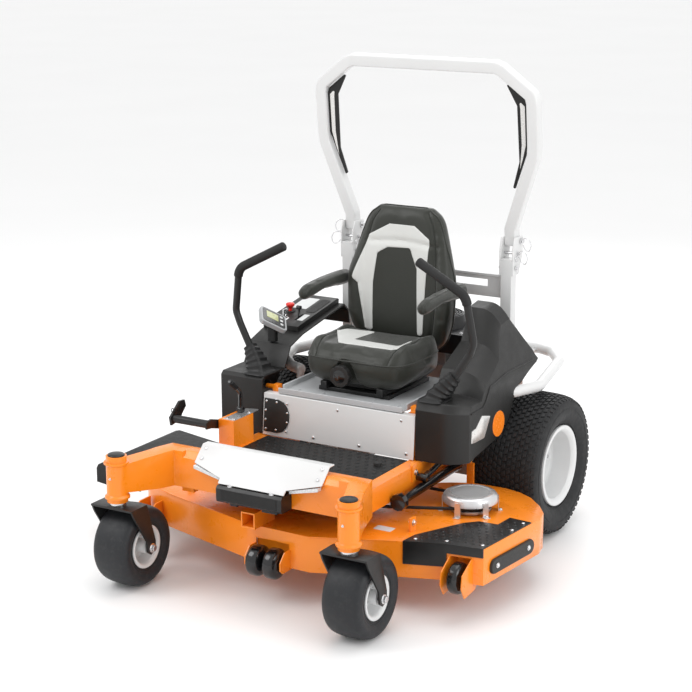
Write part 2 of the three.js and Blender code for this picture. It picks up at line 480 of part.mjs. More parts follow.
// ---------------------------------------------------------------- drive wheels
{
  const h = REAR_W / 2;
  const tyreHalf = [[REAR_RIM_R + GAP, 116.4], [175.5, 120.5], [215, 146], [258, h], [288, 141], [301, 112]];
  // the carcass is hollow and open to the rim
  const airHalf = [[REAR_RIM_R + GAP, 100], [205, 118], [258, 134], [280, 122]];
  const tyreProfile = [...tyreHalf.map(([r, x]) => [r, -x]), [REAR_R, 0], ...tyreHalf.slice().reverse(),
    ...airHalf, [289, 0], ...airHalf.slice().reverse().map(([r, x]) => [r, -x])];
  tyreProfile.push(tyreProfile[0]);
  const rimProfile = [[0, -152], [28, -152], [28, 12], [144, 12], [144, -124], [158, -134.5], [174, -134.5], [174, -121.5], [REAR_RIM_R, -117], [REAR_RIM_R, 117], [174, 121.5], [174, 134.5], [158, 134.5], [144, 124], [144, 22], [58, 22], [52, 44], [0, 44]];
  const tyre = latheX(tyreProfile, 24), rim = latheX(rimProfile, 24);
  for (const s of [1, -1]) {
    const side = s > 0 ? 'left' : 'right';
    const place = (g) => { const c = g.clone().translate(REAR_X, 0, REAR_R); return s > 0 ? c : mirrorX(c); };
    add(side + '_rear_tyre', place(tyre), RUBBER);
    add(side + '_rear_rim', place(rim), WHITE);
  }
}

// ---------------------------------------------------------------- cutting deck
{
  const outline = [[-78, -1218], [220, -1227], [533, -1094], [703, -1035], [857, -1014], [896, -603], [880, -530], [832, -462], [759, -388],
    [690, -348], [617, -330], [540, -330], [462, -338], [380, -380], [300, -440], [230, -510], [150, -552], [60, -556], [-40, -520],
    [-110, -455], [-190, -390], [-280, -345], [-380, -328], [-470, -330], [-560, -352], [-640, -400], [-700, -480], [-715, -560],
    [-715, -1005], [-680, -1035], [-542, -1084]];
  const inset = (pts, d) => pts.map((p, i) => {
    const a = pts[(i + pts.length - 1) % pts.length], b = pts[(i + 1) % pts.length];
    const unit = (x, y) => { const l = Math.hypot(x, y); return [x / l, y / l]; };
    const u1 = unit(-(p[1] - a[1]), p[0] - a[0]), u2 = unit(-(b[1] - p[1]), b[0] - p[0]);
    const m = unit(u1[0] + u2[0], u1[1] + u2[1]), k = d / (m[0] * u1[0] + m[1] * u1[1]);
    return [p[0] + m[0] * k, p[1] + m[1] * k];
  });
  const pan = cut(prismZ(outline, DECK_Z0, DECK_Z1), prismZ(inset(outline, DECK_T), DECK_Z0 - 10, DECK_Z1 - DECK_T));
  const housings = Object.values(SPINDLES).map(([x, y]) => cylZ(x, y, DECK_Z1 - 60, DECK_Z1 + 1.5, 48, 18));
  const holes = Object.values(SPINDLES).map(([x, y]) => cylZ(x, y, DECK_Z1 - 80, DECK_Z1 + 20, 19, 18));
  const hanger = (s) => {
    const g = join(
      box(446, 478, -352, -344, DECK_Z1 - 2, 376), box(446, 454, -352, -318, DECK_Z1 - 2, 376),
      box(520, 530, -985, -945, DECK_Z1 - 2, 338));
    return s > 0 ? g : mirrorX(g);
  };
  const receiver = box(-72, -8, -1263, -1120, DECK_Z1 - 1, DECK_Z1 + 64);
  const receiverBore = box(-66, -14, -1280, -1126, DECK_Z1 + 6, DECK_Z1 + 58);
  // brackets and axle of the two middle rollers
  const cheek = [[-1215, 134], [-1215, 215], [-1262, 215], [-1296, 180], [-1296, 150], [-1280, 134]];
  const middle = join(prismX(cheek, -38, -32), prismX(cheek, 124, 130), cylX(-38, 130, -1268, 165, 8, 12));
  // recess, brackets and axle of the left corner roller
  const RX = 769, RY = -1052, RZ = 168;
  const notch = box(RX - 42, RX + 42, -1100, -970, 120, 242);
  const notchShell = join(
    box(RX - 47, RX + 47, -975, -970, DECK_Z0, 247),
    prismX([[-970, DECK_Z0], [-970, 247], [-1024, 247], [-1105, 200], [-1112, 150], [-1085, 104], [-1000, 112]], RX - 47, RX - 42),
    prismX([[-970, DECK_Z0], [-970, 247], [-1016, 247], [-1105, 200], [-1112, 150], [-1085, 104], [-1000, 112]], RX + 42, RX + 47),
    box(RX - 47, RX + 47, -1022, -970, 242, 247));
  const cornerAxle = cylX(RX - 44, RX + 44, RY, RZ, 8, 12);
  // the right corner roller is carried by two plates on the front wall
  const QX = -640, QY = -1132, QZ = 168;
  const plate = [[-1040, 145], [-1040, 240], [-1110, 240], [-1172, 190], [-1172, 150], [-1150, 132]];
  const rightBracket = join(prismX(plate, QX - 42, QX - 36), prismX(plate, QX + 36, QX + 42), cylX(QX - 38, QX + 38, QY, QZ, 8, 12));
  // recess behind the two middle rollers
  const nose = box(-32, 124, -1240, -1203, 120, 236);
  const noseShell = join(box(-37, 129, -1203, -1198, DECK_Z0, 241), box(-37, 129, -1222, -1198, 236, 241));
  let shell = join(cut(pan, notch, nose), notchShell, noseShell, cornerAxle, ...housings, hanger(1), hanger(-1), receiver, middle, rightBracket);
  shell = cut(shell, ...holes, receiverBore, box(-730, -700, -930, -600, DECK_Z0 - 5, 268));
  add('deck_shell', shell, ORANGE);

  // spindles: blade, shaft and grooved pulley in one turning piece
  const spindle = ([x, y], angle) => {
    const shaft = latheZ([[0, 146], [16, 146], [16, 287.5], [30, 289], [86, 291], [86, 303], [72, 308], [72, 322], [86, 327], [86, 340], [62, 343], [0, 343]], 18);
    const blade = box(-BLADE_R, BLADE_R, -32, 32, 152, 158);
    const lift = (e) => box(e * BLADE_R - (e > 0 ? 90 : 0), e * BLADE_R + (e > 0 ? 0 : 90), e * 20 - 8, e * 20 + 8, 156, 172);
    return join(shaft, join(blade, lift(1), lift(-1)).rotateZ(angle)).translate(x, y, 0);
  };
  add('left_spindle', spindle(SPINDLES.left, 0.6), STEEL);
  add('center_spindle', spindle(SPINDLES.center, -0.3), STEEL);
  add('right_spindle', spindle(SPINDLES.right, 1.2), STEEL);

  // drive belt: a loop around the three pulleys, in their grooves
  const loop = (r) => {
    const L = SPINDLES.left, C = SPINDLES.center, R = SPINDLES.right;
    return [...arc(C[0], C[1], r, -114.6, -65.4, 4), ...arc(L[0], L[1], r, -65.4, 90, 12), ...arc(R[0], R[1], r, 90, 245.4, 12)];
  };
  add('drive_belt', cut(prismZ(loop(83), 309, 321), prismZ(loop(73.2), 300, 330)), RUBBER);

  const ball = (w, n) => {
    const pts = [];
    for (let i = 0; i <= 5; i++) { const a = -Math.PI / 2 + Math.PI * i / 5; pts.push([30 + (ROLLER_R - 30) * Math.cos(a), w / 2 * Math.sin(a)]); }
    return latheX([[9, -w / 2], ...pts, [9, w / 2], [9, -w / 2]], n);
  };
  add('center_rollers', join(ball(72, 12).translate(8, -1268, 165), ball(72, 12).translate(84, -1268, 165),
    cut(cylX(40, 52, -1268, 165, 20, 12), cylX(30, 60, -1268, 165, 9, 12))), RUBBER);
  add('left_roller', ball(62, 12).translate(RX, RY, RZ), RUBBER);
  add('right_roller', ball(62, 12).translate(QX, QY, QZ), RUBBER);

  // foot step that folds over the deck's left front edge
  const top = prismZ([[553, -1084], [702, -1032], [856, -1010], [880, -760], [889, -662], [792, -654], [786, -748], [706, -752], [660, -800], [560, -1010]], DECK_Z1 + GAP, DECK_Z1 + 4.5);
  const lipCut = box(712, 900, -1100, -990, 180, 252);
  add('step_plate', cut(join(top, prismZ([[553, -1092.5], [553, -1087.7], [703, -1035.6], [857.5, -1014.5], [857.5, -1019.5], [703, -1041]], 196, DECK_Z1 + 4.5),
    prismZ([[553, -1092.5], [553, -1080], [702, -1030], [856, -1008], [857.5, -1019.5], [703, -1041]], DECK_Z1 + GAP, DECK_Z1 + 4.5)), lipCut), BLACK_STEEL);

  // discharge chute: a hinged hood open below and towards the deck
  const [hx, hz] = CHUTE_HINGE;
  const hood = [[hx - 1, hz - 3], [hx - 1, hz + 3], [-958, 324], [-980, 318], [-990, 300], [-990, 238], [-984, 238], [-984, 299], [-976, 312], [-957, 318]];
  const wall = [[hx - 3, hz], [-957, 321], [-978, 316], [-987, 300], [-987, 238], [-900, 228], [-760, 232]];
  add('discharge_chute', join(prismY(hood, -1000, -440), prismY(wall, -1000, -994), prismY(wall, -446, -440)), RUBBER);
}

export default mower;
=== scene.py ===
import math
import bpy
import bmesh
import numpy as np
from mathutils import Vector, Matrix, noise
from mathutils.bvhtree import BVHTree


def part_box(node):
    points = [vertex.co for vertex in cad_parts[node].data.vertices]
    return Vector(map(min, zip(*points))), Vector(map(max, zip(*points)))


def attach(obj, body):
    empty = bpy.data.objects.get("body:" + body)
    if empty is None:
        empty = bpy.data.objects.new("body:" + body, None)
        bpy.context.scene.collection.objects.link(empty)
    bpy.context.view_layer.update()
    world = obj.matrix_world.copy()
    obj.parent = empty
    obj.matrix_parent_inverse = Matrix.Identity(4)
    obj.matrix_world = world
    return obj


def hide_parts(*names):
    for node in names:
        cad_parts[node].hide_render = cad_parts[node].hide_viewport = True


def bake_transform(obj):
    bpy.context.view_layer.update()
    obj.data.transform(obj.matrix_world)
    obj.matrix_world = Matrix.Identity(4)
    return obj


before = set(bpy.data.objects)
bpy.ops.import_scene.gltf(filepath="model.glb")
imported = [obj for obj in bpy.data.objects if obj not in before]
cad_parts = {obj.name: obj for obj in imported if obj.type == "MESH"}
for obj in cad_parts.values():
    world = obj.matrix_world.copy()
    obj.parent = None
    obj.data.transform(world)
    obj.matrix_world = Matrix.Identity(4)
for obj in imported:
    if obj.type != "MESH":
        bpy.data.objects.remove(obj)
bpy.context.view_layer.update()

# Lengths below are millimetres from the ground under the middle of the rear axle, as in the CAD source;
# W() turns them into the row's frame in metres.
OX, OY = -47.0, -476.6
RAD = math.radians


def W(x, y=None, z=None):
    if y is None:
        x, y, z = x
    return Vector(((x - OX) / 1000.0, (y - OY) / 1000.0, z / 1000.0))


def mir(p, s):
    return (p[0] * s, p[1], p[2])


# ------------------------------------------------------------------ materials
def lin(r, g, b):
    def f(c):
        c /= 255.0
        return c / 12.92 if c <= 0.04045 else ((c + 0.055) / 1.055) ** 2.4
    return (f(r), f(g), f(b))


class Nodes:
    def __init__(self, name):
        self.m = bpy.data.materials.new(name)
        self.m.use_nodes = True
        self.t = self.m.node_tree
        self.t.nodes.clear()
        self.out = self.t.nodes.new("ShaderNodeOutputMaterial")
        self.b = self.t.nodes.new("ShaderNodeBsdfPrincipled")
        self.t.links.new(self.b.outputs[0], self.out.inputs[0])
        self.tc = self.t.nodes.new("ShaderNodeTexCoord")

    def n(self, kind, **kw):
        x = self.t.nodes.new(kind)
        for k, v in kw.items():
            if k in x.inputs:
                x.inputs[k].default_value = v
            else:
                setattr(x, k, v)
        return x

    def l(self, a, b):
        self.t.links.new(a, b)

    def noise(self, scale, detail=4.0, rough=0.5, dist=0.0):
        x = self.n("ShaderNodeTexNoise")
        x.inputs["Scale"].default_value = scale
        x.inputs["Detail"].default_value = detail
        x.inputs["Roughness"].default_value = rough
        x.inputs["Distortion"].default_value = dist
        self.l(self.tc.outputs["Object"], x.inputs["Vector"])
        return x

    def voronoi(self, scale, feature="F1"):
        x = self.n("ShaderNodeTexVoronoi")
        x.feature = feature
        x.inputs["Scale"].default_value = scale
        self.l(self.tc.outputs["Object"], x.inputs["Vector"])
        return x

    def ramp(self, src, stops):
        x = self.n("ShaderNodeValToRGB")
        el = x.color_ramp.elements
        while len(el) < len(stops):
            el.new(0.5)
        for e, (p, c) in zip(el, stops):
            e.position = p
            e.color = (*c, 1.0) if len(c) == 3 else c
        self.l(src, x.inputs["Fac"])
        return x

    def rng(self, src, a, b, lo=0.3, hi=0.7):
        x = self.n("ShaderNodeMapRange")
        x.inputs["From Min"].default_value = lo
        x.inputs["From Max"].default_value = hi
        x.inputs["To Min"].default_value = a
        x.inputs["To Max"].default_value = b
        self.l(src, x.inputs["Value"])
        return x

    def bump(self, src, strength, distance, prev=None):
        x = self.n("ShaderNodeBump")
        x.inputs["Strength"].default_value = strength
        x.inputs["Distance"].default_value = distance
        self.l(src, x.inputs["Height"])
        if prev is not None:
            self.l(prev.outputs["Normal"], x.inputs["Normal"])
        return x


def shade(c, k):
    return tuple(max(0.0, min(1.0, v * k)) for v in c)


def finish_mat(name, base, rough, metal=0.0, vary=0.08, vscale=6.0, fine=0.03, fscale=900.0, fdist=0.0003, coat=0.0,
               coat_rough=0.08, spec=0.38, rvary=0.06, grain=None, sheen=0.0, dust=0.0):
    """A painted, moulded or cast finish: broad colour variation, a fine surface texture, uneven gloss, a little dust in the mottle."""
    m = Nodes(name)
    n1 = m.noise(vscale, 5.0, 0.6)
    lo, hi = shade(base, 1 - vary), shade(base, 1 + vary * 0.6)
    stops = [(0.3, lo), (0.5, base), (0.72, hi)]
    col = m.ramp(n1.outputs["Fac"], stops)
    colour = col.outputs["Color"]
    if dust:
        n3 = m.noise(vscale * 7, 6.0, 0.7)
        mx = m.n("ShaderNodeMix", data_type="RGBA")
        f = m.rng(n3.outputs["Fac"], 0.0, dust, 0.52, 0.75)
        m.l(f.outputs[0], mx.inputs["Factor"])
        m.l(colour, mx.inputs[6])
        mx.inputs[7].default_value = (0.35, 0.33, 0.30, 1)
        colour = mx.outputs[2]
    m.l(colour, m.b.inputs["Base Color"])
    n2 = m.noise(vscale * 5, 4.0, 0.6)
    r = m.rng(n2.outputs["Fac"], max(0.03, rough - rvary), min(1.0, rough + rvary))
    m.l(r.outputs[0], m.b.inputs["Roughness"])
    m.b.inputs["Metallic"].default_value = metal
    m.b.inputs["Specular IOR Level"].default_value = spec
    m.b.inputs["Coat Weight"].default_value = coat
    m.b.inputs["Coat Roughness"].default_value = coat_rough
    if sheen:
        m.b.inputs["Sheen Weight"].default_value = sheen
        m.b.inputs["Sheen Roughness"].default_value = 0.5
    if grain == "cells":
        v = m.voronoi(fscale)
        bp = m.bump(v.outputs["Distance"], fine, fdist)
        n4 = m.noise(fscale * 0.35, 5.0)
        bp = m.bump(n4.outputs["Fac"], fine * 0.6, fdist * 2, bp)
    else:
        n4 = m.noise(fscale, 3.0)
        bp = m.bump(n4.outputs["Fac"], fine, fdist)
    m.l(bp.outputs["Normal"], m.b.inputs["Normal"])
    return m.m


ORANGE = finish_mat("orange_paint", (0.90, 0.245, 0.010), 0.30, vary=0.05, vscale=3.0, fine=0.05, fscale=500, fdist=0.0004, coat=0.35, coat_rough=0.12)
WHITE = finish_mat("white_paint", (0.66, 0.662, 0.66), 0.36, vary=0.025, vscale=3.0, fine=0.05, fscale=500, fdist=0.0004, coat=0.25, coat_rough=0.15)
GREY = finish_mat("grey_paint", (0.45, 0.46, 0.47), 0.40, vary=0.03, vscale=4.0, fine=0.05, fscale=500, coat=0.1)
BLACK = finish_mat("black_paint", (0.0085, 0.0085, 0.0085), 0.40, vary=0.20, vscale=6.0, fine=0.10, fscale=700, fdist=0.0004, coat=0.1, coat_rough=0.25)
BLACK_GLOSS = finish_mat("black_gloss", (0.0065, 0.0065, 0.007), 0.20, vary=0.15, vscale=6.0, fine=0.03, fscale=700, coat=0.4)
PLASTIC = finish_mat("cover_plastic", (0.0125, 0.0123, 0.0118), 0.44, vary=0.10, vscale=4.0, fine=0.30, fscale=900, fdist=0.0004, grain="cells")
SOFT_BLACK = finish_mat("soft_black", (0.0085, 0.0085, 0.0085), 0.58, vary=0.15, vscale=9.0, fine=0.35, fscale=650, fdist=0.0006, grain="cells")
TYRE = finish_mat("tyre_rubber", (0.010, 0.0105, 0.0115), 0.62, vary=0.16, vscale=7.0, fine=0.20, fscale=600, fdist=0.0005, dust=0.05)
CASTER_TYRE = finish_mat("caster_tyre_rubber", (0.0145, 0.0155, 0.018), 0.52, vary=0.12, vscale=7.0, fine=0.15, fscale=500, fdist=0.0005, dust=0.04)
RUBBER = finish_mat("bellows_rubber", (0.0075, 0.0075, 0.0078), 0.45, vary=0.15, vscale=12.0, fine=0.2, fscale=700)
VINYL = finish_mat("seat_vinyl", lin(37, 39, 33), 0.40, vary=0.07, vscale=5.0, fine=0.45, fscale=420, fdist=0.0006, grain="cells", sheen=0.15)
INLAY = finish_mat("seat_inlay_vinyl", lin(205, 206, 203), 0.50, vary=0.04, vscale=6.0, fine=0.35, fscale=420, fdist=0.0005, grain="cells")
THREAD = finish_mat("seam_thread", lin(40, 43, 38), 0.7, vary=0.2, vscale=60.0, fine=0.6, fscale=900, fdist=0.0006)
RIM = finish_mat("rim_paint", (0.66, 0.665, 0.665), 0.33, vary=0.03, vscale=5.0, fine=0.05, fscale=500, coat=0.25, coat_rough=0.15)
CHROME = finish_mat("zinc_plate", (0.70, 0.70, 0.71), 0.24, metal=1.0, vary=0.10, vscale=40.0, fine=0.05, fscale=900)
SILVER = finish_mat("cast_cover", (0.66, 0.66, 0.67), 0.32, metal=0.85, vary=0.10, vscale=14.0, fine=0.12, fscale=420, fdist=0.0005)
ALLOY = finish_mat("cast_alloy", (0.40, 0.405, 0.41), 0.52, metal=0.8, vary=0.14, vscale=12.0, fine=0.5, fscale=300, fdist=0.0008, dust=0.08)
STEEL = finish_mat("bare_steel", (0.42, 0.42, 0.43), 0.36, metal=0.95, vary=0.18, vscale=18.0, fine=0.15, fscale=500)
SHROUD = finish_mat("engine_cowl", (0.010, 0.010, 0.011), 0.40, vary=0.12, vscale=6.0, fine=0.25, fscale=700, grain="cells")
BEZEL = finish_mat("display_bezel", (0.42, 0.43, 0.44), 0.38, metal=0.35, vary=0.05, vscale=20.0, fine=0.1, fscale=900)
RED = finish_mat("red_knob_plastic", (0.68, 0.020, 0.012), 0.30, vary=0.06, vscale=30.0, fine=0.05, fscale=900, coat=0.4)
LABEL = finish_mat("label_film", (0.66, 0.67, 0.67), 0.42, vary=0.05, vscale=25.0, fine=0.08, fscale=900)
BADGE = finish_mat("badge_enamel", (0.90, 0.235, 0.018), 0.25, vary=0.04, vscale=20.0, fine=0.03, fscale=700, coat=0.5)
PAD = finish_mat("nylon_pad", (0.012, 0.012, 0.0115), 0.42, vary=0.15, vscale=20.0, fine=0.25, fscale=600, grain="cells", dust=0.05)


def lens_mat(name, base, scale, strength):
    m = Nodes(name)
    v = m.voronoi(scale, "DISTANCE_TO_EDGE")
    col = m.ramp(v.outputs["Distance"], [(0.0, shade(base, 0.72)), (0.12, shade(base, 0.97)), (0.6, base)])
    m.l(col.outputs["Color"], m.b.inputs["Base Color"])
    n = m.noise(30, 3)
    r = m.rng(n.outputs["Fac"], 0.14, 0.30)
    m.l(r.outputs[0], m.b.inputs["Roughness"])
    bp = m.bump(v.outputs["Distance"], strength, 0.001)
    m.l(bp.outputs["Normal"], m.b.inputs["Normal"])
    m.b.inputs["Coat Weight"].default_value = 0.6
    m.b.inputs["Coat Roughness"].default_value = 0.05
    return m.m


REFLECTOR = lens_mat("reflector_sheet", (0.74, 0.73, 0.71), 160, 0.4)
LENS = lens_mat("lamp_lens", (0.72, 0.75, 0.76), 110, 0.8)


def lcd_mat():
    m = Nodes("display_glass")
    base = lin(176, 180, 120)
    v = m.n("ShaderNodeTexBrick")
    v.inputs["Scale"].default_value = 900
    m.l(m.tc.outputs["Object"], v.inputs["Vector"])
    n = m.noise(40, 3)
    col = m.ramp(n.outputs["Fac"], [(0.3, shade(base, 0.88)), (0.5, base), (0.7, shade(base, 1.08))])
    m.l(col.outputs["Color"], m.b.inputs["Base Color"])
    r = m.rng(n.outputs["Fac"], 0.10, 0.2)
    m.l(r.outputs[0], m.b.inputs["Roughness"])
    bp = m.bump(v.outputs["Fac"], 0.05, 0.0002)
    m.l(bp.outputs["Normal"], m.b.inputs["Normal"])
    m.b.inputs["Coat Weight"].default_value = 0.5
    return m.m


LCD = lcd_mat()


# ------------------------------------------------------------------ mesh helpers
def link(o):
    bpy.context.scene.collection.objects.link(o)
    return o


def make(name, bm, mat, body, replaces=(), smooth=None):
    """An object from a bmesh in design millimetres."""
    for v in bm.verts:
        v.co = W(v.co)
    bmesh.ops.recalc_face_normals(bm, faces=bm.faces)
    me = bpy.data.meshes.new(name)
    bm.to_mesh(me)
    bm.free()
    return wrap(name, me, mat, body, replaces, smooth)


def wrap(name, me, mat, body, replaces=(), smooth=None):
    o = link(bpy.data.objects.new(name, me))
    for x in (mat if isinstance(mat, (list, tuple)) else [mat]):
        me.materials.append(x)
    me.polygons.foreach_set("use_smooth", [True] * len(me.polygons))
    if smooth is not None:
        me.set_sharp_from_angle(angle=RAD(smooth))
    me.update()
    if body:
        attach(o, body)
    if replaces:
        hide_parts(*([replaces] if isinstance(replaces, str) else replaces))
    return o


def bevel(o, mm, seg=3, angle=32, harden=True):
    m = o.modifiers.new("bevel", "BEVEL")
    m.width = mm / 1000
    m.segments = seg
    m.limit_method = "ANGLE"
    m.angle_limit = RAD(angle)
    m.harden_normals = harden
    m.use_clamp_overlap = True
    return o


def refine(node, mat, body, mm, seg=3, angle=32, name=None):
    """The CAD piece itself with its corners rounded over and its faces cleaned."""
    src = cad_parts[node]
    bm = bmesh.new()
    bm.from_mesh(src.data)
    bmesh.ops.remove_doubles(bm, verts=bm.verts, dist=2e-5)
    bmesh.ops.dissolve_limit(bm, angle_limit=RAD(1.0), verts=bm.verts, edges=bm.edges, delimit=set())
    me = bpy.data.meshes.new(node + "_body")
    bm.to_mesh(me)
    bm.free()
    o = wrap(name or node + "_body", me, mat, body, node, None)
    return bevel(o, mm, seg, angle)


def applied(o):
    """Applies every modifier, keeping the object."""
    dg = bpy.context.evaluated_depsgraph_get()
    me = bpy.data.meshes.new_from_object(o.evaluated_get(dg))
    o.modifiers.clear()
    o.data = me
    return o


def catmull(pts, n):
    """A smooth open curve through pts, n points a span."""
    pts = [Vector(p) for p in pts]
    ext = [pts[0] * 2 - pts[1]] + pts + [pts[-1] * 2 - pts[-2]]
    out = []
    for i in range(1, len(ext) - 2):
        a, b, c, d = ext[i - 1:i + 3]
        for k in range(n):
            t = k / n
            out.append(0.5 * ((2 * b) + (c - a) * t + (2 * a - 5 * b + 4 * c - d) * t * t + (3 * b - a - 3 * c + d) * t ** 3))
    out.append(pts[-1])
    return out


def rounded(pts, r, n=8):
    """A polyline whose corners are arcs."""
    v = [Vector(p) for p in pts]
    out = [v[0]]
    for i in range(1, len(v) - 1):
        a, b = (v[i - 1] - v[i]), (v[i + 1] - v[i])
        la, lb = a.length, b.length
        a.normalize(); b.normalize()
        ang = a.angle(b)
        if ang > math.pi - 0.02:
            out.append(v[i])
            continue
        rr = r[i] if isinstance(r, (list, tuple)) else r
        d = min(rr / math.tan(ang / 2), la * 0.48, lb * 0.48)
        R = d * math.tan(ang / 2)
        bis = (a + b).normalized()
        c = v[i] + bis * (R / math.sin(ang / 2))
        p, q = v[i] + a * d - c, v[i] + b * d - c
        tot = p.angle(q)
        ax = p.cross(q).normalized()
        for k in range(n + 1):
            out.append(c + Matrix.Rotation(tot * k / n, 3, ax) @ p)
    out.append(v[-1])
    return out


def circle(r, n=24):
    return [(r * math.cos(2 * math.pi * i / n), r * math.sin(2 * math.pi * i / n)) for i in range(n)]


def rrect(w, h, r, n=5):
    """Rounded rectangle, full sizes w x h."""
    out = []
    for cx, cy, a0 in ((w / 2 - r, h / 2 - r, 0), (-w / 2 + r, h / 2 - r, 90), (-w / 2 + r, -h / 2 + r, 180), (w / 2 - r, -h / 2 + r, 270)):
        for k in range(n + 1):
            a = RAD(a0 + 90 * k / n)
            out.append((cx + r * math.cos(a), cy + r * math.sin(a)))
    return out


def sweep(bm, path, section, up=(0, 0, 1), cap=0.0, scale=None, closed=False, mat_index=0):
    """Sweeps a closed section along path in bm. cap rounds the ends by that many mm."""
    path = [Vector(p) for p in path]
    n = len(path)
    tang = []
    for i in range(n):
        a = path[(i - 1) % n] if (closed or i > 0) else path[i]
        b = path[(i + 1) % n] if (closed or i < n - 1) else path[i]
        tang.append((b - a).normalized())
    upv = Vector(up)
    side = tang[0].cross(upv)
    if side.length < 1e-3:
        side = tang[0].cross(Vector((1, 0, 0)))
    side.normalize()
    rings = []
    stations = []
    for i in range(n):
        if i > 0:
            q = tang[i - 1].rotation_difference(tang[i])
            side = q @ side
        side = (side - tang[i] * side.dot(tang[i])).normalized()
        nor = side.cross(tang[i]).normalized()
        stations.append((path[i], side.copy(), nor.copy(), tang[i].copy(), (scale(i / (n - 1)) if scale else 1.0)))
    if cap and not closed:
        def ends(st, sign):
            p, s, m, t, k = st
            r = max(math.hypot(*q) for q in section) * k
            out = []
            for j in range(1, 5):
                a = RAD(90 * j / 4.6)
                out.append((p + t * sign * cap * math.sin(a), s, m, t, k * (1 - (cap / r) * (1 - math.cos(a)) * 0.95)))
            return out
        stations = list(reversed(ends(stations[0], -1))) + stations + ends(stations[-1], 1)
    for p, s, m, t, k in stations:
        rings.append([bm.verts.new(p + s * (x * k) + m * (y * k)) for x, y in section])
    m = len(section)
    last = len(rings) if closed else len(rings) - 1
    for i in range(last):
        a, b = rings[i], rings[(i + 1) % len(rings)]
        for j in range(m):
            f = bm.faces.new((a[j], a[(j + 1) % m], b[(j + 1) % m], b[j]))
            f.material_index = mat_index
    if not closed:
        bm.faces.new(list(reversed(rings[0]))).material_index = mat_index
        bm.faces.new(rings[-1]).material_index = mat_index
    return bm


def tube(name, pts, r, mat, body, bend=60, sides=28, replaces=(), cap=3.0, section=None, up=(0, 0, 1), n=8):
    bm = bmesh.new()
    sweep(bm, rounded(pts, bend, n), section or circle(r, sides), up, cap)
    return make(name, bm, mat, body, replaces, smooth=40)


def lathe(bm, profile, centre, axis, segs=64, mat_index=0):
    """profile of (radius, position along axis); closes on itself, or starts and ends on the axis."""
    ax = Vector(axis).normalized()
    e1 = ax.orthogonal().normalized()
    e2 = ax.cross(e1)
    c = Vector(centre)
    rings = []
    for r, h in profile:
        if r < 1e-6:
            rings.append([bm.verts.new(c + ax * h)])
        else:
            rings.append([bm.verts.new(c + ax * h + (e1 * math.cos(2 * math.pi * i / segs) + e2 * math.sin(2 * math.pi * i / segs)) * r) for i in range(segs)])
    k = len(rings)
    closed = len(rings[0]) > 1 and len(rings[-1]) > 1
    for i in range(k if closed else k - 1):
        a, b = rings[i], rings[(i + 1) % k]
        if len(a) == 1 and len(b) == 1:
            continue
        for j in range(segs):
            j2 = (j + 1) % segs
            if len(a) == 1:
                f = bm.faces.new((a[0], b[j], b[j2]))
            elif len(b) == 1:
                f = bm.faces.new((a[j], a[j2], b[0]))
            else:
                f = bm.faces.new((a[j], a[j2], b[j2], b[j]))
            f.material_index = mat_index
    return bm


def soft_profile(pts, r, n=4):
    """Rounds the corners of a 2-D profile."""
    v = rounded([(p[0], p[1], 0) for p in pts], r, n)
    return [(p.x, p.y) for p in v]


def turned(name, profile, centre, axis, mat, body, segs=64, replaces=(), r=0, smooth=38):
    bm = bmesh.new()
    if r:
        profile = soft_profile(profile, r)
        profile = [(max(0.0, a), b) for a, b in profile]
    lathe(bm, profile, centre, axis, segs)
    return make(name, bm, mat, body, replaces, smooth)


def prism(bm, pts, axis, a0, a1, mat_index=0):
    """pts in the two other axes (X: (y, z); Y: (x, z); Z: (x, y))."""
    def at(p, a):
        return {"X": (a, p[0], p[1]), "Y": (p[0], a, p[1]), "Z": (p[0], p[1], a)}[axis]
    lo = [bm.verts.new(at(p, a0)) for p in pts]
    hi = [bm.verts.new(at(p, a1)) for p in pts]
    n = len(pts)
    fs = [bm.faces.new(lo), bm.faces.new(list(reversed(hi)))]
    for i in range(n):
        fs.append(bm.faces.new((lo[i], hi[i], hi[(i + 1) % n], lo[(i + 1) % n])))
    for f in fs:
        f.material_index = mat_index
    return bm


def block(bm, x0, x1, y0, y1, z0, z1, mat_index=0):
    return prism(bm, [(x0, y0), (x1, y0), (x1, y1), (x0, y1)], "Z", z0, z1, mat_index)


def solidpiece(name, build, mat, body, mm=2.0, seg=3, replaces=(), angle=32):
    bm = bmesh.new()
    build(bm)
    o = make(name, bm, mat, body, replaces)
    return bevel(o, mm, seg, angle)


class Bolts:
    """Hex and domed fasteners of one body, collected in one mesh."""
    def __init__(self):
        self.bm = bmesh.new()

    def hex(self, p, axis, r=8.0, h=5.5, washer=True):
        ax = Vector(axis).normalized()
        base = Vector(p)
        if washer:
            lathe(self.bm, [(0, -1), (r * 1.35, -1), (r * 1.35, 1.0), (r * 1.25, 1.6), (0, 1.6)], base, ax, 24)
        lathe(self.bm, [(0, 1), (r, 1), (r, h * 0.82), (r * 0.86, h), (0, h)], base, ax, 6)

    def dome(self, p, axis, r=7.0, h=3.5):
        pr = [(0, -1), (r, -1), (r, h * 0.25)]
        for k in range(1, 6):
            a = RAD(90 * k / 5)
            pr.append((r * math.cos(a) if k < 5 else 0, h * 0.25 + h * 0.75 * math.sin(a)))
        lathe(self.bm, pr, Vector(p), Vector(axis), 24)

    def done(self, name, mat, body):
        return make(name, self.bm, mat, body, smooth=30)


def both(p):
    return [p, (-p[0], p[1], p[2])]


